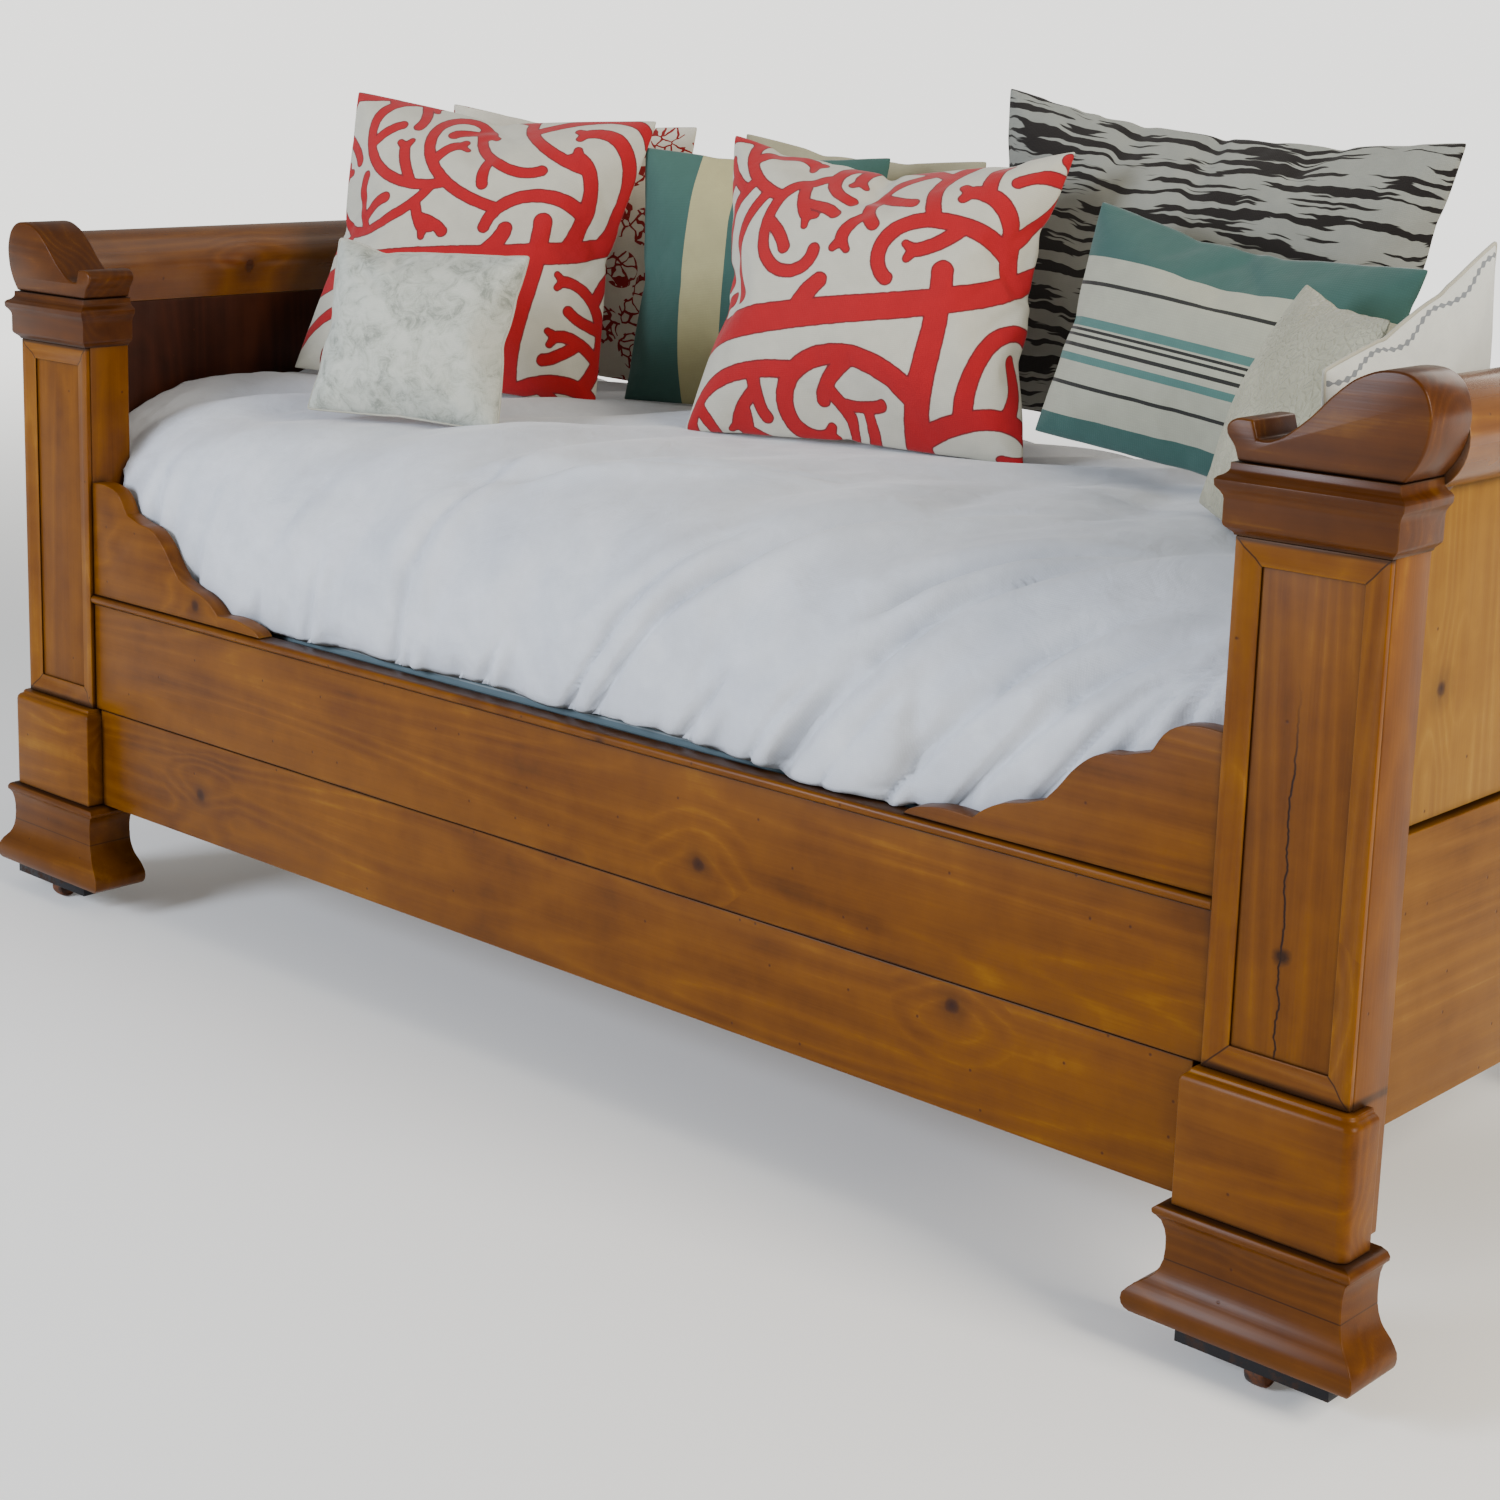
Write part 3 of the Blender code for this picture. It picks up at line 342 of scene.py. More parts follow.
def woven_cotton(name, paint, pitch=2.2 * MM, rough=0.85, sheen=0.2, crease=1.0, raised=None):
    """Plain-woven cotton, which scatters light softly. Threads are drawn coarser than they are, to show.

    paint and raised are functions that add the nodes of a colour and of a raised thread.
    """
    mat, tree, shader = new_material(name)
    uv = add(tree, "TexCoord").outputs["UV"]
    metres = add(tree, "Attribute", attribute_name="cloth").outputs["Vector"]
    colour = paint(tree, uv, metres)
    scale = math.pi / (10 * pitch)
    warp, weft = (add(tree, "TexWave", {"Vector": metres, "Scale": scale, "Distortion": 0.5, "Detail": 1.0},
                      bands_direction=way).outputs[1] for way in "XY")
    weave = add(tree, "Math", {0: warp, 1: weft}, operation="MULTIPLY")
    slubs = add(tree, "TexNoise", {"Vector": metres, "Scale": 30.0, "Detail": 5.0, "Roughness": 0.65})
    shade = add(tree, "MapRange", {0: slubs, 1: 0.25, 2: 0.75, 3: 0.90, 4: 1.04})
    shade = add(tree, "Math", {0: weave, 1: 0.07, 2: shade}, operation="MULTIPLY_ADD")
    toned = add(tree, "VectorMath", {0: colour, "Scale": shade}, operation="SCALE")
    tree.links.new(toned.outputs[0], shader.inputs["Base Color"])
    shader.inputs["Roughness"].default_value = rough
    shader.inputs["Specular IOR Level"].default_value = 0.25
    shader.inputs["Sheen Weight"].default_value = sheen
    shader.inputs["Sheen Roughness"].default_value = 0.5
    # Soft creases of 20 to 60 mm, from folding and washing.
    creases = add(tree, "TexNoise", {"Vector": metres, "Scale": 15.0, "Detail": 4.0, "Roughness": 0.5,
                                     "Distortion": 0.6})
    height = add(tree, "Math", {0: weave, 1: 0.25}, operation="MULTIPLY")
    height = add(tree, "Math", {0: creases, 1: 5.0 * crease, 2: height}, operation="MULTIPLY_ADD")
    if raised:
        height = add(tree, "Math", {0: raised(tree, metres), 1: height}, operation="ADD")
    bump = add(tree, "Bump", {"Strength": 0.5, "Distance": 1.0 * MM, "Height": height})
    tree.links.new(bump.outputs[0], shader.inputs["Normal"])
    return mat


def dyed(hex_colour, deeper):
    """One dye, taken a little unevenly."""
    def paint(tree, uv, metres):
        uneven = add(tree, "TexNoise", {"Vector": metres, "Scale": 8.0, "Detail": 3.0})
        return add(tree, "ValToRGB", {0: uneven}, [(0.3, deeper), (0.7, hex_colour)]).outputs[0]
    return paint


def printed(ground, ink, rim):
    """Ink laid inside the motif, whose edge is where the mesh's motif attribute is one half."""
    def paint(tree, uv, metres):
        away = add(tree, "Attribute", attribute_name="motif").outputs["Fac"]
        wobble = add(tree, "TexNoise", {"Vector": metres, "Scale": 90.0, "Detail": 2.0})
        away = add(tree, "Math", {0: wobble, 1: 0.05, 2: away}, operation="MULTIPLY_ADD")
        stops = [(0.48, ink), (0.495, rim), (0.52, rim), (0.545, ground)]
        return add(tree, "ValToRGB", {0: away}, stops).outputs[0]
    return paint


def striped(axis, base, bands):
    """Woven bands, each (start, end, colour) as fractions across the cloth."""
    def paint(tree, uv, metres):
        across = add(tree, "SeparateXYZ", {0: uv}).outputs[axis]
        stops = [(0.0, base)]
        for start, end, colour in bands:
            stops += [(start, colour), (end, base)]
        stops = [stop for stop in stops if stop[0] < 1.0]
        made = add(tree, "ValToRGB", {0: across}, stops)
        made.color_ramp.interpolation = "CONSTANT"
        return made.outputs[0]
    return paint


def zebra_marks(tree, uv, metres):
    """Broken wavy lines about 9 mm high, printed along the cloth."""
    sway_place = add(tree, "Mapping", {"Vector": metres, "Scale": (9.0, 4.0, 1.0)})
    sway = add(tree, "TexNoise", {"Vector": sway_place, "Scale": 1.0, "Detail": 3.0, "Roughness": 0.6})
    lift = add(tree, "Math", {0: sway, 1: 0.04}, operation="MULTIPLY")
    lift = add(tree, "CombineXYZ", {0: 0.0, 1: lift})
    bent = add(tree, "VectorMath", {0: metres, 1: lift}, operation="ADD")
    mark_place = add(tree, "Mapping", {"Vector": bent, "Scale": (6.5, 78.0, 1.0)})
    marks = add(tree, "TexNoise", {"Vector": mark_place, "Scale": 1.0, "Detail": 2.0, "Roughness": 0.55})
    return add(tree, "ValToRGB", {0: marks}, [(0.51, "#84857C"), (0.525, "#120C08")]).outputs[0]


def sprig_marks(tree, uv, metres):
    """Small twigs printed close together."""
    bend = add(tree, "TexNoise", {"Vector": metres, "Scale": 26.0, "Detail": 2.0})
    bent = add(tree, "VectorMath", {0: bend.outputs[1], 1: (0.035, 0.035, 0.0), 2: metres},
               operation="MULTIPLY_ADD")
    twigs = add(tree, "TexVoronoi", {"Vector": bent, "Scale": 62.0}, feature="DISTANCE_TO_EDGE")
    line = add(tree, "Math", {0: twigs.outputs["Distance"], 1: 0.085}, operation="LESS_THAN")
    clumps = add(tree, "TexVoronoi", {"Vector": metres, "Scale": 19.0})
    clump = add(tree, "Math", {0: clumps.outputs["Distance"], 1: 0.52}, operation="LESS_THAN")
    ink = add(tree, "Math", {0: line, 1: clump}, operation="MULTIPLY")
    return add(tree, "Mix", {0: ink, 6: "#C2BDAC", 7: "#7E1212"}, data_type="RGBA").outputs[2]


def toile_marks(tree, uv, metres):
    """A grey picture print, so faint that only mottling is left of it."""
    marks = add(tree, "TexNoise", {"Vector": metres, "Scale": 42.0, "Detail": 7.0, "Roughness": 0.75,
                                   "Distortion": 0.8})
    large = add(tree, "TexNoise", {"Vector": metres, "Scale": 14.0, "Detail": 2.0})
    both = add(tree, "Math", {0: large, 1: 0.45, 2: marks}, operation="MULTIPLY_ADD")
    stops = [(0.56, "#7E8278"), (0.68, "#A0A398"), (0.82, "#B2B4A9")]
    return add(tree, "ValToRGB", {0: both}, stops).outputs[0]


def raised_loops(tree, metres):
    """Thick thread stitched in loops about 6 mm across."""
    bend = add(tree, "TexNoise", {"Vector": metres, "Scale": 25.0, "Detail": 1.0})
    bent = add(tree, "VectorMath", {0: bend.outputs[1], 1: (0.02, 0.02, 0.0), 2: metres},
               operation="MULTIPLY_ADD")
    loops = add(tree, "TexVoronoi", {"Vector": bent, "Scale": 110.0}, feature="DISTANCE_TO_EDGE")
    cord = add(tree, "MapRange", {0: loops.outputs["Distance"], 1: 0.02, 2: 0.22, 3: 3.5, 4: 0.0})
    return cord.outputs[0]


def chain_stitches(tree, uv, metres):
    """White cotton with a line of grey chain stitches near its edge."""
    split = add(tree, "SeparateXYZ", {0: metres})
    sway = add(tree, "Math", {0: split.outputs[0], 1: 55.0}, operation="MULTIPLY")
    sway = add(tree, "Math", {0: sway}, operation="SINE")
    across = add(tree, "Math", {0: sway, 1: 5 * MM, 2: split.outputs[1]}, operation="MULTIPLY_ADD")
    off = add(tree, "Math", {0: across, 1: 0.105}, operation="SUBTRACT")
    off = add(tree, "Math", {0: off}, operation="ABSOLUTE")
    links = add(tree, "Math", {0: split.outputs[0], 1: 500.0}, operation="MULTIPLY")
    links = add(tree, "Math", {0: links}, operation="SINE")
    thick = add(tree, "MapRange", {0: links, 1: -1.0, 2: 1.0, 3: 0.8 * MM, 4: 3.2 * MM})
    line = add(tree, "Math", {0: off, 1: thick}, operation="LESS_THAN")
    return add(tree, "Mix", {0: line, 6: "#BFC2BF", 7: "#70757B"}, data_type="RGBA").outputs[2]


def ticking_stripes(tree, uv, metres):
    """Blue-green mattress ticking with pale lines every 14 mm, run along the bed."""
    split = add(tree, "SeparateXYZ", {0: metres})
    place = add(tree, "Math", {0: split.outputs[1], 1: 1 / (14 * MM)}, operation="MULTIPLY")
    place = add(tree, "Math", {0: place}, operation="FRACT")
    stops = [(0.0, "#5E7076"), (0.55, "#8E999C"), (0.68, "#5E7076"), (0.80, "#8E999C"), (0.86, "#3F5158")]
    made = add(tree, "ValToRGB", {0: place}, stops)
    made.color_ramp.interpolation = "CONSTANT"
    return made.outputs[0]


# Four tones of each pine, from its dark streaks to its pale ones.
PINE = {
    "front": ("#331900", "#572E00", "#6A3D00", "#8A5C06"),
    "frame": ("#3A1D00", "#5C3100", "#704200", "#966410"),
    # The feet's tones are darkened as painted shade, for the shade that they stand in.
    "foot": ("#2A1300", "#4A2500", "#5A3100", "#7C4E06"),
    "dark": ("#200D00", "#3C1B00", "#4C2600", "#724804"),
    "side": ("#482A00", "#6E480C", "#7C5614", "#94722C"),
    "board": ("#3C2000", "#603A06", "#70480E", "#8C6624"),
    # Painted shade: the tones of the end faces that look in over the bed, which stand in shade.
    "shaded": ("#140602", "#2A1005", "#381708", "#50280E"),
}
# Joints that dark wax has run out of, each (height, half width).
PLANK_SEAMS = ((0.2849, 2.2 * MM), (0.4309, 1.8 * MM), (0.4430, 1.6 * MM))
PLINTH_SEAMS = ((0.1516, 3.0 * MM),)
POST_SEAMS = ((0.287, 3.0 * MM),)
CRACKED_POST_SEAMS = ((0.288, 6.0 * MM),)
FRAME_SEAMS = ((0.2870, 6.5 * MM), (0.7750, 4.0 * MM))
FOOT_SEAMS = ((0.098, 1.0 * MM), (0.1508, 2.6 * MM))
CAPITAL_SEAMS = ((0.7768, 2.4 * MM), (0.8410, 2.4 * MM))
POST_CRACK = (0.944, 0.296, 0.66)  # x, lowest z and highest z
INK, TEAL, PALE_TEAL = "#22221F", "#31534D", "#486C65"
# Bands of the striped canvas, each (start, end, colour) as fractions up the cloth.
CANVAS_BANDS = (
    (0.0001, 0.115, TEAL), (0.238, 0.252, INK), (0.335, 0.365, PALE_TEAL), (0.394, 0.408, INK),
    (0.434, 0.446, INK), (0.459, 0.471, INK), (0.480, 0.515, PALE_TEAL), (0.648, 0.662, INK),
    (0.765, 1.0, TEAL),
)
MATERIALS = {}


def pine(key):
    """The pine of that name. Its wax is as rough as the add-on's panel says."""
    wax = bpy.context.scene.daybed_looks.wax_gloss
    frame_box = [(corner[0], corner[2]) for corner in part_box("front_right_post_frame")]
    name, tones, grain, settings = {
        "pine_front": ("waxed_pine_front", "front", "X", {"seams": PLANK_SEAMS}),
        "pine_plinth": ("waxed_pine_plinth", "front", "X", {"seams": PLINTH_SEAMS}),
        "pine_back": ("waxed_pine_back", "front", "X", {"gloss": wax + 0.1}),
        "pine_slats": ("planed_pine_slats", "side", "Y", {"gloss": 0.6, "grime_and_shade": 0.4}),
        "pine_post": ("waxed_pine_post", "front", "Z", {"seams": POST_SEAMS}),
        "pine_post_cracked": ("waxed_pine_post_cracked", "front", "Z",
                              {"crack": POST_CRACK, "seams": CRACKED_POST_SEAMS}),
        "pine_frame": ("waxed_pine_frame", "frame", "Z",
                       {"grime_and_shade": 0.95, "seams": FRAME_SEAMS, "mitred": frame_box}),
        # The feet are darker as painted shade, and their hollows take painted shade as well as dark wax.
        "pine_foot": ("waxed_pine_foot_shaded", "foot", "X", {"grime_and_shade": 0.9, "seams": FOOT_SEAMS}),
        "pine_dark": ("waxed_pine_dark", "dark", "X",
                      {"gloss": wax - 0.03, "grime_and_shade": 0.9, "seams": CAPITAL_SEAMS, "shine": 0.2}),
        # The faces of the end panels and boards that look in over the bed get painted shade.
        "pine_panel": ("waxed_pine_panel", "side", "Z", {"inner": PINE["shaded"]}),
        "pine_board": ("waxed_pine_board", "board", "Y", {"inner": PINE["shaded"]}),
        "pine_roll": ("polished_pine_roll", "front", "Y", {"gloss": 0.26, "shine": 0.9}),
    }[key]
    return waxed_pine(name, PINE[tones], grain, **{"gloss": wax, **settings})


def iron_or_cloth(key):
    """The iron or the cloth of that name."""
    looks = bpy.context.scene.daybed_looks
    coral = printed("#B4B1A2", looks.coral_red, "#6E0F18")
    maker, name, *settings = {
        "iron": (cast_iron, "cast_iron_black", "#15151A", "#3A2416", 0.10, 0.6),
        "iron_rusty": (cast_iron, "cast_iron_rusted", "#2A1D18", "#6B3B1C", 0.22, 0.35),
        "ticking": (woven_cotton, "woven_ticking", ticking_stripes, {"crease": 0.6}),
        "ticking_piping": (woven_cotton, "woven_ticking_piping", dyed("#5F7278", "#4C5F66")),
        "duvet": (woven_cotton, "washed_white_cotton", dyed(looks.duvet_white, "#B9BDC4"),
                  {"rough": 0.8, "sheen": 0.3, "crease": 2.0}),
        "coral": (woven_cotton, "printed_cotton_coral", coral),
        "sprig": (woven_cotton, "printed_cotton_sprig", sprig_marks),
        "toile": (woven_cotton, "printed_cotton_toile", toile_marks),
        "teal": (woven_cotton, "woven_cotton_teal", striped(0, "#365850", [(0.25, 0.42, "#A39C72")])),
        "oat": (woven_cotton, "woven_linen_oat", dyed("#A9A284", "#989072"), {"pitch": 3 * MM}),
        "zebra": (woven_cotton, "printed_cotton_zebra", zebra_marks),
        "striped": (woven_cotton, "woven_canvas_striped", striped(1, "#9B9B8A", CANVAS_BANDS),
                    {"pitch": 3 * MM}),
        "knobbly": (woven_cotton, "stitched_cotton_cream", dyed("#ACA992", "#96937C"),
                    {"raised": raised_loops}),
        "white": (woven_cotton, "stitched_cotton_white", chain_stitches),
        "piping": (woven_cotton, "cotton_piping_cream", dyed("#A9A79A", "#979586")),
    }[key]
    named_settings = settings.pop() if isinstance(settings[-1], dict) else {}
    return maker(name, *settings, **named_settings)


def material(key):
    """The material of that name, made the first time that it is asked for."""
    if key not in MATERIALS:
        MATERIALS[key] = pine(key) if key.startswith("pine") else iron_or_cloth(key)
    return MATERIALS[key]


# ---------------------------------------------------------------- building tools


def choose(obj):
    """Make obj the only selected object, and the active one."""
    if bpy.context.object and bpy.context.object.mode != "OBJECT":
        bpy.ops.object.mode_set(mode="OBJECT")
    bpy.ops.object.select_all(action="DESELECT")
    obj.select_set(True)
    bpy.context.view_layer.objects.active = obj


@contextmanager
def editing(obj):
    """Edit mode with all of obj selected, then object mode again."""
    choose(obj)
    bpy.ops.object.mode_set(mode="EDIT")
    bpy.ops.mesh.select_all(action="SELECT")
    yield
    bpy.ops.object.mode_set(mode="OBJECT")


def added(name):
    """The object that was just added, with its new name and its scale applied."""
    obj = bpy.context.object
    obj.name = obj.data.name = name
    bpy.ops.object.transform_apply(location=True, rotation=True, scale=True)
    return obj


def cloth_grid(name, columns, rows):
    """A flat sheet of cells from -1 to 1 both ways, with a UV map."""
    bpy.ops.object.select_all(action="DESELECT")
    bpy.ops.mesh.primitive_grid_add(x_subdivisions=columns, y_subdivisions=rows, size=2.0, calc_uvs=True)
    return added(name)


def sew(obj):
    """Join the sheets of obj wherever their points meet."""
    with editing(obj):
        bpy.ops.mesh.remove_doubles(threshold=0.01 * MM)


def apply_modifiers(obj):
    """Apply every modifier of obj, in order."""
    choose(obj)
    for modifier in list(obj.modifiers):
        bpy.ops.object.modifier_apply(modifier=modifier.name)


def points_of(mesh):
    """The mesh's points as an array."""
    flat = np.empty(len(mesh.vertices) * 3)
    mesh.vertices.foreach_get("co", flat)
    return flat.reshape(-1, 3)


def set_points(mesh, points):
    """Move the mesh's points."""
    mesh.vertices.foreach_set("co", np.asarray(points, dtype=np.float32).ravel())
    mesh.update()


def set_numbers(mesh, name, values, kind="FLOAT"):
    """Write a number or a vector to each point of the mesh, for the materials to read."""
    made = mesh.attributes.get(name) or mesh.attributes.new(name, kind, "POINT")
    flat = np.asarray(values, dtype=np.float32).ravel()
    made.data.foreach_set("value" if kind == "FLOAT" else "vector", flat)


def place_piece(obj, look, body="root", nodes=()):
    """Give a piece its material and its body, and hide the nodes that it stands for."""
    obj.data.materials.clear()
    obj.data.materials.append(material(look))
    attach(obj, body)
    if nodes:
        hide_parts(*nodes)
    return obj


def ease_edges(piece, width, segments, corner):
    """Bevel every edge that turns more than corner degrees, then smooth what turns less than 30."""
    bevel = piece.modifiers.new("eased_edges", "BEVEL")
    bevel.width = width
    bevel.segments = segments
    bevel.limit_method = "ANGLE"
    bevel.angle_limit = math.radians(corner)
    bevel.use_clamp_overlap = True
    apply_modifiers(piece)
    bpy.ops.object.shade_smooth_by_angle(angle=math.radians(30))


def eased_copy(node, edge, segments=3):
    """A copy of a node with its triangles merged and its edges eased with a plane and sandpaper."""
    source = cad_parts[node]
    piece = bpy.data.objects.new(node + "_finished", source.data.copy())
    bpy.context.scene.collection.objects.link(piece)
    with editing(piece):
        bpy.ops.mesh.remove_doubles(threshold=0.02 * MM)
        bpy.ops.mesh.dissolve_limited(angle_limit=math.radians(0.5))
    ease_edges(piece, edge, segments, 35)
    return piece


def finish_wood(node, look, edge, board):
    """Finish one wooden node: eased edges, its own place in the tree, and wax."""
    piece = eased_copy(node, edge)
    set_numbers(piece.data, "board", np.full(len(piece.data.vertices), board))
    return place_piece(piece, look, "root", (node,))


# ---------------------------------------------------------------- pillows


def pillow_case(name, size, cells):
    """Two flat sheets of cloth sewn together round their edge, upright and facing the front."""
    width, height, thick = size
    rows = max(8, round(cells * height / width))
    case = cloth_grid(name, cells, rows)
    with editing(case):
        bpy.ops.mesh.duplicate()
        bpy.ops.mesh.flip_normals()
        bpy.ops.transform.translate(value=(0, 0, -0.5))
    flat = points_of(case.data)
    crown = (1 - flat[:, 0] ** 2) * (1 - flat[:, 1] ** 2)
    depth = np.where(flat[:, 2] < -0.25, 1.0, -1.0) * crown ** 0.5 * thick * 0.12
    set_points(case.data, np.column_stack([flat[:, 0] * width / 2, depth, flat[:, 1] * height / 2]))
    sew(case)
    return case


def fill_cloth(obj, pressure):
    """Cloth blown up from inside, with no weight."""
    cloth = obj.modifiers.new("filling", "CLOTH")
    for setting, value in (("quality", 5), ("mass", 0.25), ("use_pressure", True),
                           ("uniform_pressure_force", pressure), ("tension_stiffness", 18),
                           ("compression_stiffness", 12), ("shear_stiffness", 6),
                           ("bending_stiffness", 0.35), ("air_damping", 2.0)):
        setattr(cloth.settings, setting, value)
    cloth.settings.effector_weights.gravity = 0
    cloth.collision_settings.use_collision = False
    cloth.point_cache.frame_start = 1
    cloth.point_cache.frame_end = 30


BRANCH_TRIALS = 4000
LONG_TRIALS = 1600  # the trials, at the start, that grow long branches
LONG_BRANCHES = (0.17, 0.22, 0.27)
SHORT_BRANCHES = (0.06, 0.09, 0.13)
CLAWED_SHARE = 0.45
BRANCH_GAP = 6.5 * MM  # the least cloth left bare between two branches


def distances(some, others):
    """How far each of some flat points is from each of the others."""
    return np.hypot(some[:, None, 0] - others[None, :, 0], some[:, None, 1] - others[None, :, 1])


def curling_branches(width, height, seed):
    """Points (x, z, half width) along curling branches that keep clear of each other, some of them clawed."""
    rng = np.random.default_rng(seed)
    step = 4 * MM

    def grow(x, z, heading, length, bend, w_start, w_end):
        count = max(int(length / step), 2)
        line = np.empty((count, 3))
        for i in range(count):
            part = i / (count - 1)
            line[i] = (x, z, w_start + (w_end - w_start) * part ** 0.8)
            heading += (bend[0] + (bend[1] - bend[0]) * part ** 2) * step
            x += math.cos(heading) * step
            z += math.sin(heading) * step
        return line

    def clawed(line):
        ahead = line[-1] - line[-2]
        heading = math.atan2(ahead[1], ahead[0])
        x, z, thick = line[-1]
        reach = thick * 1.9
        claws = [grow(x, z, heading + hand * 0.85, reach, (-hand * 6, -hand * 14), thick * 0.95, thick * 0.62)
                 for hand in (-1, 1)]
        return np.concatenate([line, *claws])

    trunk = grow(-0.52 * width, -0.20 * height, 0.30, width * 1.20, (-1.0, 4.5), 19 * MM, 14 * MM)
    second = grow(0.22 * width, -0.54 * height, 1.75, height * 0.62, (-3.2, 6.0), 18 * MM, 13 * MM)
    spines = [trunk, second]
    drawn = [trunk, second]
    for trial in range(BRANCH_TRIALS):
        number = rng.integers(len(spines))
        parent = spines[number]
        if len(parent) < 12:
            continue
        at = rng.integers(3, len(parent) - 4)
        x, z, thick = parent[at]
        ahead = parent[at + 1] - parent[at - 1]
        hand = rng.choice((-1, 1))
        heading = math.atan2(ahead[1], ahead[0]) + hand * rng.uniform(0.75, 1.35)
        lengths = LONG_BRANCHES if trial < LONG_TRIALS else SHORT_BRANCHES
        length = rng.choice(lengths) * rng.uniform(0.85, 1.2)
        turn = rng.choice((-1, 1), p=(0.3, 0.7)) * hand
        bend = (turn * rng.uniform(2, 9), turn * rng.uniform(16, 40))
        start = min(thick * 0.95, 14.5 * MM)
        new = grow(x, z, heading, length, bend, start, max(start * 0.72, 8.5 * MM))
        shape = clawed(new) if rng.random() < CLAWED_SHARE else new
        free = shape[int((thick + 9 * MM) / step):]
        inside = (np.abs(free[:, 0]) < width * 0.54) & (np.abs(free[:, 1]) < height * 0.54)
        if len(free) < 5 or inside.mean() < 0.8:
            continue
        near = np.hypot(parent[:, 0] - x, parent[:, 1] - z) < 0.045
        others = [line for index, line in enumerate(drawn) if index != number] + [parent[~near]]
        others = np.concatenate(others)
        gaps = distances(free, others) - (free[:, None, 2] + others[None, :, 2])
        if gaps.min() < BRANCH_GAP:
            continue
        if len(new) > 9 and distances(new[10:], parent[near]).min() < thick + 9 * MM:
            continue
        own = distances(shape, new)
        apart = np.subtract.outer(np.arange(len(shape)), np.arange(len(new))) * step > 0.06
        if apart.any() and own[apart].min() < 2 * start + 5 * MM:
            continue
        spines.append(new)
        drawn.append(shape)
    return np.concatenate(drawn)


def motif_numbers(points, branches):
    """For each point, one half plus its distance from the motif's edge, in units of 40 mm."""
    nearest = np.empty(len(points))
    batch = 4000
    for start in range(0, len(points), batch):
        far = distances(points[start:start + batch], branches)
        nearest[start:start + batch] = (far - branches[None, :, 2]).min(axis=1)
    return np.clip(0.5 + nearest / (40 * MM), 0, 1)


def cloth_metres(obj, size):
    """Each point's place on its flat cloth, from its UV map, in metres from the middle."""
    mesh = obj.data
    uv = np.empty(len(mesh.loops) * 2)
    mesh.uv_layers.active.data.foreach_get("uv", uv)
    index = np.empty(len(mesh.loops), dtype=np.int64)
    mesh.loops.foreach_get("vertex_index", index)
    flat = np.zeros((len(mesh.vertices), 3))
    flat[index, :2] = (uv.reshape(-1, 2) - 0.5) * np.array(size[:2])
    set_numbers(mesh, "cloth", flat, "FLOAT_VECTOR")
    return flat


def pillow_pose(name):
    """Where a pillow stands: turned, leaned back and tilted on its bottom edge."""
    (x, distance), (turn, lean, tilt) = PILLOWS[name][:2]
    return (Matrix.Translation((x, distance + BED_FRONT, 0)) @ Matrix.Rotation(math.radians(turn), 4, "Z")
            @ Matrix.Rotation(math.radians(-lean), 4, "X") @ Matrix.Rotation(math.radians(-tilt), 4, "Y")
            @ Matrix.Scale(STRETCHED.get(name, 1.0), 4))


def edge_loop(obj, size):
    """The points of the seam round a pillow, in order, from the cloth's own edge."""
    cloth = np.empty(len(obj.data.vertices) * 3)
    obj.data.attributes["cloth"].data.foreach_get("vector", cloth)
    cloth = cloth.reshape(-1, 3)
    width, height = size[0] / 2, size[1] / 2
    rim = np.where((np.abs(cloth[:, 0]) > width - 0.1 * MM) | (np.abs(cloth[:, 1]) > height - 0.1 * MM))[0]
    u = cloth[rim, 0] / width
    v = cloth[rim, 1] / height
    scale = np.maximum(np.abs(u), np.abs(v))
    order = np.argsort(np.arctan2(v / scale, u / scale))
    return points_of(obj.data)[rim[order]]


def piping_round(name, obj, size, radius):
    """A covered cord sewn into the seam round a pillow."""
    loop = edge_loop(obj, size)
    curve = bpy.data.curves.new(name, "CURVE")
    curve.dimensions = "3D"
    curve.bevel_depth = radius
    curve.bevel_resolution = 2
    spline = curve.splines.new("POLY")
    spline.points.add(len(loop) - 1)
    spline.points.foreach_set("co", np.column_stack([loop, np.ones(len(loop))]).ravel())
    spline.use_cyclic_u = True
    piping = bpy.data.objects.new(name, curve)
    bpy.context.scene.collection.objects.link(piping)
    choose(piping)
    bpy.ops.object.convert(target="MESH")
    piping = bpy.context.object
    set_numbers(piping.data, "cloth", points_of(piping.data), "FLOAT_VECTOR")
    bpy.ops.object.shade_smooth()
    return piping


CLOTH_CELL = 8.5 * MM
FILLING_STEPS = 20


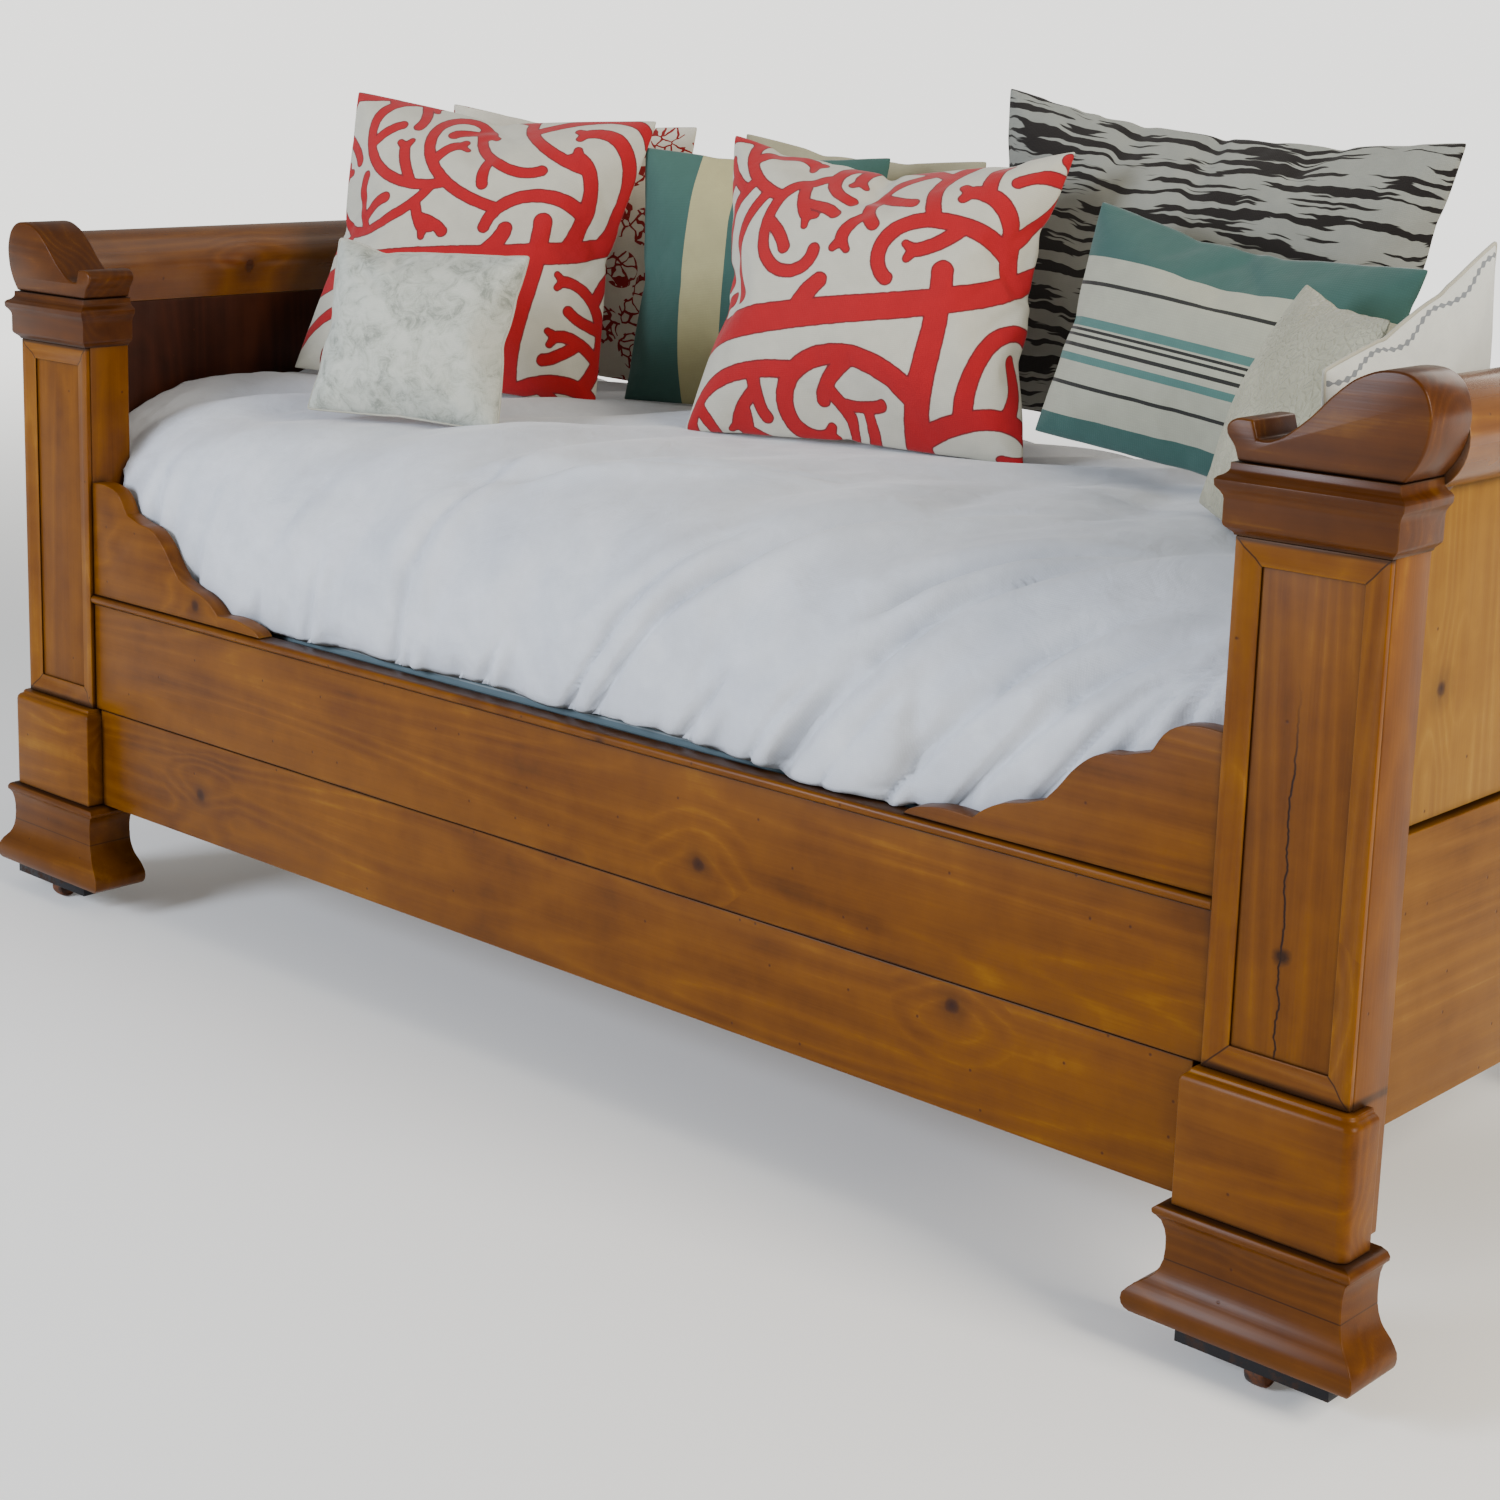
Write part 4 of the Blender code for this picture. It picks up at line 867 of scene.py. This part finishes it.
class DAYBED_OT_pillows(bpy.types.Operator):
    """Sew, fill and print the ten pillows, and stand them on the duvet"""
    bl_idname = "daybed.pillows"
    bl_label = "Pillows"

    def execute(self, context):
        looks = context.scene.daybed_looks
        cases = {}
        for name in PILLOWS:
            cells = round(PILLOW_SIZES[name][0] / CLOTH_CELL)
            cases[name] = pillow_case(name + "_case", PILLOW_SIZES[name], cells)
        flats = {name: points_of(case.data) for name, case in cases.items()}
        for case in cases.values():
            fill_cloth(case, looks.pillow_pressure)
        for step in range(1, FILLING_STEPS + 1):
            context.scene.frame_set(step)
        for name, case in cases.items():
            apply_modifiers(case)
            points = points_of(case.data)
            # Below the middle the cloth is drawn in less, as the pillow stands on its bottom edge.
            sides = np.full(len(points), PILLOWS[name][3])
            ends = np.where(points[:, 2] < 0, 0.35, 1.0) * sides
            keep = np.column_stack([sides, np.ones(len(points)), ends])
            set_points(case.data, points * keep + flats[name] * (1 - keep))
        context.scene.frame_set(1)
        for name, case in cases.items():
            self.finish_pillow(name, case)
        return {"FINISHED"}

    def finish_pillow(self, name, case):
        """Fit a filled case to its size, print it, and stand it in its place."""
        size = PILLOW_SIZES[name]
        branching = name in BRANCH_SEEDS
        points = points_of(case.data)
        low, high = points.min(axis=0), points.max(axis=0)
        middle = (low + high) / 2
        points = (points - middle) * np.array([size[0], size[2] * 1.3, size[1]]) / (high - low)
        # The bottom edge flattens a little where the pillow stands.
        pressed = points[:, 2] < -size[1] * 0.46
        points[pressed, 2] = points[pressed, 2] * 0.5 - size[1] * 0.23
        set_points(case.data, points + np.array([0, 0, size[1] / 2]))
        smooth = case.modifiers.new("smooth", "SUBSURF")
        smooth.levels = smooth.render_levels = 2 if branching else 1
        apply_modifiers(case)
        bpy.ops.object.shade_smooth()
        flat = cloth_metres(case, size)
        if branching:
            branches = curling_branches(size[0], size[1], BRANCH_SEEDS[name])
            set_numbers(case.data, "motif", motif_numbers(flat[:, :2], branches))
        case.data.transform(pillow_pose(name))
        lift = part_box(name)[0][2] - points_of(case.data)[:, 2].min()
        case.data.transform(Matrix.Translation((0, 0, lift)))
        look = "coral" if branching else name.replace("pillow_", "")
        place_piece(case, look, "root", (name,))
        if name in PIPED:
            piping = piping_round(name + "_piping", case, size, 1.9 * MM)
            place_piece(piping, "piping", "root", ())


# ---------------------------------------------------------------- mattress and duvet


def soft_noise(points, scale, seed=0.0):
    """Smooth noise from -1 to 1 at each point, for features 1/scale long."""
    shift = Vector((seed, seed * 1.7, seed * 0.3))
    return np.array([noise.noise(Vector(point * scale) + shift) for point in points])


PAD_INSET = 6 * MM  # how much smaller than its node the pad is, each way
PAD_CORNER = 28 * MM
PRESSED_BACK = 22 * MM  # how far the duvet presses the mattress's top front edge back


class DAYBED_OT_mattress(bpy.types.Operator):
    """Make the mattress in its striped ticking, with piping round its top and bottom edges"""
    bl_idname = "daybed.mattress"
    bl_label = "Mattress"

    def execute(self, context):
        low, high = (np.array(corner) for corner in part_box("mattress"))
        middle, size = (low + high) / 2, high - low
        bpy.ops.object.select_all(action="DESELECT")
        bpy.ops.mesh.primitive_cube_add(size=1.0, location=tuple(middle), scale=tuple(size - PAD_INSET))
        pad = added("mattress_pad")
        with editing(pad):
            bpy.ops.mesh.bevel(offset=PAD_CORNER, segments=4, profile=0.5)
            bpy.ops.mesh.subdivide(number_cuts=5)
            bpy.ops.mesh.quads_convert_to_tris()
        remesh = pad.modifiers.new("even", "REMESH")
        remesh.mode = "VOXEL"
        remesh.voxel_size = 12 * MM
        apply_modifiers(pad)
        points = points_of(pad.data)
        # Slight hollows where the ticking is drawn in between its rows of side stitching.
        side = (np.abs(points[:, 1] - middle[1]) > size[1] / 2 - 12 * MM)
        level = (points[:, 2] - middle[2]) / size[2]
        draw = np.where(side, 2.5 * MM * np.cos(level * math.tau * 2.5), 0)
        points[:, 1] += np.sign(points[:, 1] - middle[1]) * draw
        # The front top edge is pressed round by the duvet.
        corner = np.clip((points[:, 2] - (high[2] - 0.07)) / 0.07, 0, 1) ** 2
        points[:, 1] = np.where(points[:, 1] < low[1] + 0.09, points[:, 1] + 0.030 * corner, points[:, 1])
        set_points(pad.data, np.clip(points, low, high))
        bpy.ops.object.shade_smooth()
        across = points[:, 1] + points[:, 2]
        set_numbers(pad.data, "cloth", np.column_stack([points[:, 0], across, 0 * across]), "FLOAT_VECTOR")
        place_piece(pad, "ticking", "root", ("mattress",))
        for label, z, inset in (("top", high[2] - 16 * MM, PRESSED_BACK), ("bottom", low[2] + 16 * MM, 0.0)):
            bpy.ops.object.select_all(action="DESELECT")
            bpy.ops.mesh.primitive_plane_add(size=1.0, location=(middle[0], middle[1] + inset / 2, z))
            context.object.scale = (size[0] - PAD_INSET, size[1] - PAD_INSET - inset, 1)
            cord = added("mattress_piping_" + label)
            with editing(cord):
                bpy.ops.mesh.bevel(affect="VERTICES", offset=PAD_CORNER, segments=5)
                bpy.ops.mesh.delete(type="ONLY_FACE")
            bpy.ops.object.convert(target="CURVE")
            cord.data.bevel_depth = 2.6 * MM
            cord.data.bevel_resolution = 3
            bpy.ops.object.convert(target="MESH")
            set_numbers(cord.data, "cloth", points_of(cord.data), "FLOAT_VECTOR")
            bpy.ops.object.shade_smooth()
            place_piece(cord, "ticking_piping", "root", ())
        return {"FINISHED"}


# Folds of the duvet, each (x at its foot, drift along the bed as it climbs, length up, depth, half width, how
# far up its foot is). Depths and half widths are in millimetres.
DUVET_FOLDS = (
    (-0.780, 0.02, 0.22, 5.0, 14, 0), (-0.690, 0.04, 0.20, 3.0, 14, 0), (-0.560, 0.10, 0.24, 3.0, 18, 0),
    (-0.455, 0.03, 0.12, 4.0, 10, 0), (-0.285, 0.10, 0.42, 5.0, 16, 0), (-0.262, 0.02, 0.07, 5.0, 9, 0),
    (-0.130, 0.04, 0.08, 4.0, 9, 0), (0.010, 0.20, 0.26, 9.0, 16, 0), (0.050, 0.42, 0.46, 12.0, 25, 0),
    (0.095, 0.14, 0.15, 7.0, 11, 0), (0.190, 0.08, 0.10, 6.0, 10, 0), (0.290, 0.10, 0.12, 6.0, 10, 0),
    (0.335, 0.36, 0.38, 11.0, 23, 0), (0.400, 0.10, 0.12, 6.0, 10, 0), (0.480, 0.26, 0.26, 10.0, 18, 0),
    (0.560, 0.24, 0.24, 9.0, 17, 0), (0.640, 0.16, 0.20, 8.0, 14, 0), (0.700, 0.14, 0.24, 8.0, 14, 0),
    (0.770, 0.08, 0.26, 8.0, 12, 0), (0.420, 0.22, 0.20, 12.0, 18, 0.17), (-0.210, 0.40, 0.22, 8.0, 18, 0.25),
)


def duvet_profile(count):
    """Points (y, z) up the duvet's front from its hem and over its top to the back, evenly spaced."""
    marks = np.array([(-0.404, 0.449), (-0.410, 0.478), (-0.411, 0.520), (-0.406, 0.560), (-0.394, 0.598),
                      (-0.372, 0.632), (-0.338, 0.662), (-0.292, 0.684), (-0.230, 0.697), (-0.150, 0.703),
                      (-0.050, 0.704), (0.100, 0.703), (0.250, 0.700), (0.325, 0.696), (0.362, 0.680),
                      (0.380, 0.650), (0.383, 0.612)])
    smooth = marks
    for _ in range(3):
        quarter = smooth[:-1] * 0.75 + smooth[1:] * 0.25
        other = smooth[:-1] * 0.25 + smooth[1:] * 0.75
        smooth = np.vstack([smooth[:1], np.stack([quarter, other], axis=1).reshape(-1, 2), smooth[-1:]])
    along = np.concatenate([[0], np.cumsum(np.hypot(*np.diff(smooth, axis=0).T))])
    even = np.linspace(0, along[-1], count)
    return np.column_stack([np.interp(even, along, smooth[:, 0]), np.interp(even, along, smooth[:, 1])]), even


def eased(values, start, reach):
    """0 up to start and 1 from reach further on, with a soft step between."""
    part = np.clip((values - start) / reach, 0, 1)
    return part ** 2 * (3 - 2 * part)


def fold_rise(x, climb, depth):
    """How far the folds lift the duvet: each a sharp valley with a soft crest on either side."""
    rise = np.zeros(len(x))
    for foot, drift, reach, deep, wide, start in DUVET_FOLDS:
        part = np.clip((climb - start) / reach, 0, 1.2)
        line = foot + drift * part ** 1.15
        off = (x - line) * math.cos(math.atan2(drift, reach)) / (wide * MM)
        fade = np.clip(1 - part, 0, 1) ** 0.7 * (np.clip(part * 5, 0, 1) if start else 1)
        valley = -np.exp(-np.abs(off) * 2.4) * 0.9
        crest = 0.62 * np.exp(-((off - 1.5) / 1.0) ** 2) + 0.35 * np.exp(-((off + 1.7) / 1.2) ** 2)
        rise += (valley + crest) * deep * 2.2 * MM * fade * depth
    return rise


def filling_rise(x, climb, y, z, half):
    """How far the filling lifts the duvet: waves at the hem, creases, lumps, and crowding at both ends."""
    nothing = np.zeros(len(x))
    spots = np.column_stack([x, climb, nothing])
    slant = np.column_stack([x - 0.6 * climb, climb * 0.3, nothing])
    ends = np.column_stack([x * 0.5, y * 1.8, z * 1.8])
    to_end = half - np.abs(x)
    rise = soft_noise(spots * np.array([1, 0.35, 1]), 34, 3.1) * 7 * MM * np.exp(-climb / 0.045)
    rise += soft_noise(slant, 13, 5.7) * 2.5 * MM
    rise += soft_noise(slant, 30, 8.2) * 1.5 * MM * (0.3 + 0.7 * np.exp(-climb / 0.12))
    rise += soft_noise(spots, 4.2, 1.3) * 7 * MM
    lumps = soft_noise(slant * np.array([1.0, 2.2, 1.0]), 6.5, 9.1)
    rise += (np.sqrt(lumps ** 2 + 0.004) - 0.2) * 26 * MM * np.clip(climb / 0.08, 0, 1)
    rise += soft_noise(ends, 22, 2.4) * 7 * MM * np.exp(-to_end / 0.07)
    rise += 8 * MM * np.exp(-((to_end - 0.06) / 0.05) ** 2) * np.clip((climb - 0.2) / 0.1, 0, 1)
    return rise


DUVET_CELLS = (300, 150)
HEM_HEIGHT = 0.4436  # just above the rail
RAIL_INNER_FACE = -0.4135  # the duvet's front stays behind this, but for where it slumps onto the rail
MATTRESS_FACE = -0.4015  # and in front of this, as far up as the mattress goes
HALF_BEHIND_POSTS = 0.862  # half the duvet's length between the front posts
HALF_BETWEEN_ENDS = 0.953  # and between the end panels


class DAYBED_OT_duvet(bpy.types.Operator):
    """Lay the duvet over the mattress, with its front edge hanging behind the rail"""
    bl_idname = "daybed.duvet"
    bl_label = "Duvet"

    def execute(self, context):
        columns, rows = DUVET_CELLS
        profile, lengths = duvet_profile(rows + 1)
        duvet = cloth_grid("duvet_filled", columns, rows)
        flat = points_of(duvet.data)
        row = np.rint((flat[:, 1] + 1) / 2 * rows).astype(int)
        climb = lengths[row]
        y, z = profile[row].T
        slope = np.gradient(profile, axis=0)
        out = np.column_stack([-slope[:, 1], slope[:, 0]])
        out /= np.linalg.norm(out, axis=1)[:, None]
        out_y, out_z = out[row].T
        half = HALF_BEHIND_POSTS + (HALF_BETWEEN_ENDS - HALF_BEHIND_POSTS) * eased(y, -0.395, 0.035)
        x = flat[:, 0] * half
        nothing = np.zeros(len(x))
        border = np.minimum.reduce([half - np.abs(x), climb, lengths[-1] - climb])
        rise = fold_rise(x, climb, context.scene.daybed_looks.fold_depth) + filling_rise(x, climb, y, z, half)
        rise *= np.clip(border / 0.006, 0.25, 1)

        # Towards the right it slumps forward onto the rail, and near the left bracket it hangs lower.
        hem = soft_noise(np.column_stack([x, nothing, nothing]), 9, 4.4) * 5 * MM * np.exp(-climb / 0.05)
        slump = np.clip((x - 0.22) / 0.16, 0, 1) * np.clip((0.512 - x) / 0.02, 0, 1)
        slump = slump ** 2 * (3 - 2 * slump)
        hem -= 5.5 * MM * (np.clip((-0.36 - x) / 0.08, 0, 1) + slump) * np.exp(-climb / 0.04)
        outer = np.column_stack([x, y + out_y * rise, z + out_z * rise + hem])
        outer[:, 1] -= 20 * MM * slump * np.exp(-climb / 0.07)
        outer[:, 1] = np.maximum(outer[:, 1], RAIL_INNER_FACE - 0.017 * slump)
        beside_mattress = outer[:, 2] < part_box("mattress")[1][2] - 0.02
        outer[:, 1] = np.minimum(outer[:, 1], np.where(beside_mattress, MATTRESS_FACE, 1.0))
        loft = (6 * MM + 12 * MM * np.clip(climb / 0.25, 0, 1)) * np.sqrt(np.clip(border / 0.022, 0, 1))
        inner = np.column_stack([x, y - out_y * loft, z - out_z * loft + hem])
        for sheet in (outer, inner):
            sheet[:, 2] = np.maximum(sheet[:, 2], HEM_HEIGHT)
        edge = border < 1e-6
        inner[edge] = outer[edge]

        set_points(duvet.data, outer)
        with editing(duvet):
            bpy.ops.mesh.duplicate()
            bpy.ops.mesh.flip_normals()
        set_points(duvet.data, np.vstack([outer, inner]))
        cloth = np.column_stack([x, climb, nothing])
        set_numbers(duvet.data, "cloth", np.vstack([cloth, cloth]), "FLOAT_VECTOR")
        sew(duvet)
        bpy.ops.object.shade_smooth()
        place_piece(duvet, "duvet", "root", ("duvet",))
        return {"FINISHED"}


# ---------------------------------------------------------------- the wooden frame


class DAYBED_OT_front_rail(bpy.types.Operator):
    """Finish the front rail's two boards, its bead, its scrolled brackets and the ledger behind it"""
    bl_idname = "daybed.front_rail"
    bl_label = "Front rail"

    def execute(self, context):
        edge = context.scene.daybed_looks.rubbed_edge
        for number, node in enumerate(("front_rail_lower", "front_rail_upper", "front_rail_bead",
                                       "front_bracket_left", "front_bracket_right")):
            finish_wood(node, "pine_front", min(edge, 1.4 * MM), number * 0.37)
        finish_wood("front_ledger", "pine_back", 1 * MM, 2.3)
        return {"FINISHED"}


class DAYBED_OT_base(bpy.types.Operator):
    """Finish the back rail and the slatted base"""
    bl_idname = "daybed.base"
    bl_label = "Back rail and slats"

    def execute(self, context):
        finish_wood("back_rail", "pine_back", 1.2 * MM, 2.9)
        finish_wood("slatted_base", "pine_slats", 0.8 * MM, 3.3)
        return {"FINISHED"}


class DAYBED_OT_posts(bpy.types.Operator):
    """Finish the four posts with their feet, plinths, mitred frames, capitals, scrolls and crests"""
    bl_idname = "daybed.posts"
    bl_label = "Posts"

    def execute(self, context):
        edge = context.scene.daybed_looks.rubbed_edge
        for number, corner in enumerate(CORNERS):
            post = "pine_post_cracked" if corner == "front_right" else "pine_post"
            finish_wood(corner + "_foot", "pine_foot", 1.0 * MM, 4.0 + number * 0.71)
            finish_wood(corner + "_post", post, edge, 6.0 + number * 0.53)
        for number, corner in enumerate(FRONT):
            finish_wood(corner + "_plinth", "pine_plinth", 1.6 * MM, 8.0 + number * 0.61)
            finish_wood(corner + "_post_frame", "pine_frame", 1.2 * MM, 8.4 + number * 0.61)
            finish_wood(corner + "_capital", "pine_dark", 0.9 * MM, 9.0 + number * 0.43)
            finish_wood(corner + "_scroll", "pine_dark", 2.4 * MM, 9.7 + number * 0.43)
        for number, corner in enumerate(BACK):
            finish_wood(corner + "_crest", "pine_dark", 1.4 * MM, 10.5 + number * 0.43)
        return {"FINISHED"}


COVE_RADIUS = 62 * MM
COVE_THICK = 11 * MM
COVE_GAP = 0.3 * MM
COVE_UNDER_ROLL = 7 * MM  # how far the blocks' tops reach up behind the rolls


class DAYBED_OT_ends(bpy.types.Operator):
    """Finish the end boards, panels and rolls, and add the coved blocks under the rolls"""
    bl_idname = "daybed.ends"
    bl_label = "Ends"

    def execute(self, context):
        for number, (end, side) in enumerate((("left", -1), ("right", 1))):
            finish_wood(end + "_end_board", "pine_board", 1.2 * MM, 11.0 + number * 0.67)
            finish_wood(end + "_end_panel", "pine_panel", 1.0 * MM, 12.1 + number * 0.67)
            finish_wood(end + "_end_roll", "pine_roll", 0.6 * MM, 13.0 + number * 0.67)
            for place in ("front", "back"):
                self.coved_block(end, side, place)
        return {"FINISHED"}

    def coved_block(self, end, side, place):
        """A block with a hollow quarter circle, in the corner between a post and the roll."""
        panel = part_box(end + "_end_panel")
        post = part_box(place + "_" + end + "_post")
        toward = 1 if place == "front" else -1
        wall = post[1][1] + COVE_GAP if place == "front" else post[0][1] - COVE_GAP
        face = panel[1][0] if side > 0 else panel[0][0]
        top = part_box(end + "_end_roll")[0][2] + COVE_UNDER_ROLL
        centre = (face + side * COVE_GAP, wall + toward * COVE_RADIUS, top - COVE_RADIUS)
        bpy.ops.object.select_all(action="DESELECT")
        bpy.ops.mesh.primitive_circle_add(vertices=64, radius=COVE_RADIUS, fill_type="NOTHING",
                                          location=centre, rotation=(0, math.pi / 2, 0))
        block = added(place + "_" + end + "_coved_block")
        # Only the quarter nearest the corner is kept, and closed with the corner itself.
        arc = [vert.co.copy() for vert in block.data.vertices
               if (vert.co.y - centre[1]) * toward <= 1e-5 and vert.co.z >= centre[2] - 1e-5]
        arc.sort(key=lambda point: point.z)
        points = [*arc, Vector((arc[0].x, wall, top))]
        block.data.clear_geometry()
        block.data.from_pydata([tuple(point) for point in points], [], [list(range(len(points)))])
        with editing(block):
            bpy.ops.mesh.extrude_region_move(TRANSFORM_OT_translate={"value": (side * COVE_THICK, 0, 0)})
            bpy.ops.mesh.select_all(action="SELECT")
            bpy.ops.mesh.normals_make_consistent(inside=False)
        ease_edges(block, 0.8 * MM, 2, 30)
        set_numbers(block.data, "board", np.full(len(block.data.vertices), 14.2))
        place_piece(block, "pine_dark", "root", ())


class DAYBED_OT_casters(bpy.types.Operator):
    """Finish the iron casters, each on its own swivel and wheel"""
    bl_idname = "daybed.casters"
    bl_label = "Casters"

    def execute(self, context):
        for corner in CORNERS:
            for part, look, body in (("cup", "iron", "root"), ("fork", "iron", corner + "_fork"),
                                     ("axle", "iron_rusty", corner + "_fork"),
                                     ("wheel", "iron_rusty", corner + "_wheel")):
                node = corner + "_caster_" + part
                piece = eased_copy(node, 0.7 * MM if part != "axle" else 0.4 * MM, 2)
                place_piece(piece, look, body, (node,))
        return {"FINISHED"}


# ---------------------------------------------------------------- stage


CAMERA_PLACE = (2.0864, -2.4506, 1.1846)
CAMERA_TURN = (0.7703, -0.1987, 0.0211)  # yaw, pitch and roll
CAMERA_LENS = 63.757
CAMERA_SHIFT = (0.08, -0.1133)
BACKDROP_STRENGTH = 2.1
# Each lamp: place, what it points at, size, share of the window's power and tint.
LAMPS = {
    "window": ((-1.7, -4.4, 2.0), (0, 0, 0.5), 1.6, 1.0, "#E6EFFF"),
    "right_window": ((4.0, -0.35, 2.3), (0.6, 0.1, 0.6), 1.6, 0.72, "#FFF6E6"),
    "ceiling": ((0.4, 0.6, 3.2), (0, 0, 0.5), 2.6, 0.05, "#FFF9EE"),
    "back_window": ((0.6, 3.9, 2.4), (0.9, 0, 0.9), 2.0, 0.18, "#FFF9EE"),
}


class DAYBED_OT_stage(bpy.types.Operator):
    """Set up the camera, the soft lights and the pale floor"""
    bl_idname = "daybed.stage"
    bl_label = "Stage"

    def execute(self, context):
        self.camera(context.scene)
        self.lights(context.scene)
        self.floor(context)
        return {"FINISHED"}

    def camera(self, scene):
        """A camera that looks down the bed from its right front corner."""
        data = bpy.data.cameras.new("Camera")
        camera = bpy.data.objects.new("Camera", data)
        scene.collection.objects.link(camera)
        data.sensor_width = 36
        data.lens = CAMERA_LENS
        data.shift_x, data.shift_y = CAMERA_SHIFT
        data.clip_end = 60
        yaw, pitch, roll = CAMERA_TURN
        ahead = Vector((-math.sin(yaw) * math.cos(pitch), math.cos(yaw) * math.cos(pitch), math.sin(pitch)))
        level = Vector((math.cos(yaw), math.sin(yaw), 0))
        above = level.cross(ahead)
        right = math.cos(roll) * level + math.sin(roll) * above
        up = -math.sin(roll) * level + math.cos(roll) * above
        turned = Matrix((right, up, -ahead)).transposed()
        camera.matrix_world = Matrix.Translation(CAMERA_PLACE) @ turned.to_4x4()
        scene.camera = camera

    def lights(self, scene):
        """A pale backdrop all round, and four soft lamps."""
        looks = scene.daybed_looks
        world = bpy.data.worlds.new("Studio")
        world.use_nodes = True
        sky = world.node_tree
        sky.nodes.clear()
        # The backdrop is pale, and the light that it gives is softer than it looks.
        seen = add(sky, "LightPath").outputs["Is Camera Ray"]
        strength = add(sky, "MapRange", {0: seen, 3: looks.studio_light, 4: BACKDROP_STRENGTH})
        glow = add(sky, "Background", {"Color": looks.studio_tint, "Strength": strength})
        add(sky, "OutputWorld", {"Surface": glow})
        scene.world = world
        for name, (place, target, size, share, tint) in LAMPS.items():
            lamp = bpy.data.lights.new(name, "AREA")
            lamp.energy = looks.window_power * share
            lamp.size = size
            lamp.color = linear(tint)
            obj = bpy.data.objects.new(name, lamp)
            obj.location = place
            obj.rotation_euler = (Vector(target) - Vector(place)).to_track_quat("-Z", "Y").to_euler()
            scene.collection.objects.link(obj)

    def floor(self, context):
        """A pale floor that glows as brightly as the backdrop far off, so that no edge shows between them."""
        bpy.ops.object.select_all(action="DESELECT")
        bpy.ops.mesh.primitive_plane_add(size=30, location=(0, 0, 0))
        floor = context.object
        floor.name = "floor"
        mat, tree, shader = new_material("painted_floor")
        shader.inputs["Base Color"].default_value = (*linear("#F4F4F2"), 1.0)
        shader.inputs["Roughness"].default_value = 0.9
        place = add(tree, "TexCoord").outputs["Object"]
        away = add(tree, "VectorMath", {0: place}, operation="LENGTH").outputs["Value"]
        glow = add(tree, "MapRange", {0: away, 1: 2.0, 2: 8.0, 3: 0.1, 4: 1.7},
                   interpolation_type="SMOOTHSTEP")
        tint = linear(context.scene.daybed_looks.studio_tint)
        shader.inputs["Emission Color"].default_value = (*tint, 1.0)
        tree.links.new(glow.outputs[0], shader.inputs["Emission Strength"])
        floor.data.materials.append(mat)


# ---------------------------------------------------------------- the add-on


class DaybedLooks(bpy.types.PropertyGroup):
    """Sizes and colours that a user would change"""
    rubbed_edge: bpy.props.FloatProperty(
        name="Rubbed edge", description="How far the posts' edges are worn round",
        default=2.6 * MM, min=0.0, unit="LENGTH")
    wax_gloss: bpy.props.FloatProperty(
        name="Wax roughness", description="Lower is a glossier wax",
        default=0.36, min=0.05, max=1.0, subtype="FACTOR")
    coral_red: bpy.props.StringProperty(
        name="Coral red", description="Ink of the two branching prints", default="#9C0612")
    duvet_white: bpy.props.StringProperty(
        name="Duvet white", description="Colour of the duvet's cotton", default="#C9CCD1")
    fold_depth: bpy.props.FloatProperty(
        name="Fold depth", description="How deep the duvet's folds are",
        default=1.45, min=0.0, max=2.0, subtype="FACTOR")
    pillow_pressure: bpy.props.FloatProperty(
        name="Pillow filling", description="Pressure inside the pillows", default=5.0, min=0.0)
    studio_light: bpy.props.FloatProperty(
        name="Studio light", description="Strength of the light all round", default=0.42, min=0.0)
    studio_tint: bpy.props.StringProperty(
        name="Studio tint", description="Colour of the light all round", default="#FAF9F5")
    window_power: bpy.props.FloatProperty(
        name="Window power", description="Power of the main lamp", default=250.0, min=0.0, unit="POWER")


OPERATORS = (DAYBED_OT_stage, DAYBED_OT_front_rail, DAYBED_OT_base, DAYBED_OT_posts, DAYBED_OT_ends,
             DAYBED_OT_casters, DAYBED_OT_mattress, DAYBED_OT_duvet, DAYBED_OT_pillows)


class DAYBED_PT_panel(bpy.types.Panel):
    """Lists the daybed's pieces and looks"""
    bl_label = "Daybed"
    bl_idname = "DAYBED_PT_panel"
    bl_space_type = "VIEW_3D"
    bl_region_type = "UI"
    bl_category = "Daybed"

    def draw(self, context):
        looks = context.scene.daybed_looks
        for name in DaybedLooks.__annotations__:
            self.layout.prop(looks, name)
        for operator in OPERATORS:
            self.layout.operator(operator.bl_idname)


CLASSES = (DaybedLooks, *OPERATORS, DAYBED_PT_panel)


def register():
    for cls in CLASSES:
        bpy.utils.register_class(cls)
    bpy.types.Scene.daybed_looks = bpy.props.PointerProperty(type=DaybedLooks)


def unregister():
    del bpy.types.Scene.daybed_looks
    for cls in reversed(CLASSES):
        bpy.utils.unregister_class(cls)


def main():
    """Build every piece in order."""
    register()
    for operator in OPERATORS:
        group, name = operator.bl_idname.split(".")
        getattr(getattr(bpy.ops, group), name)()


if __name__ == "__main__":
    main()
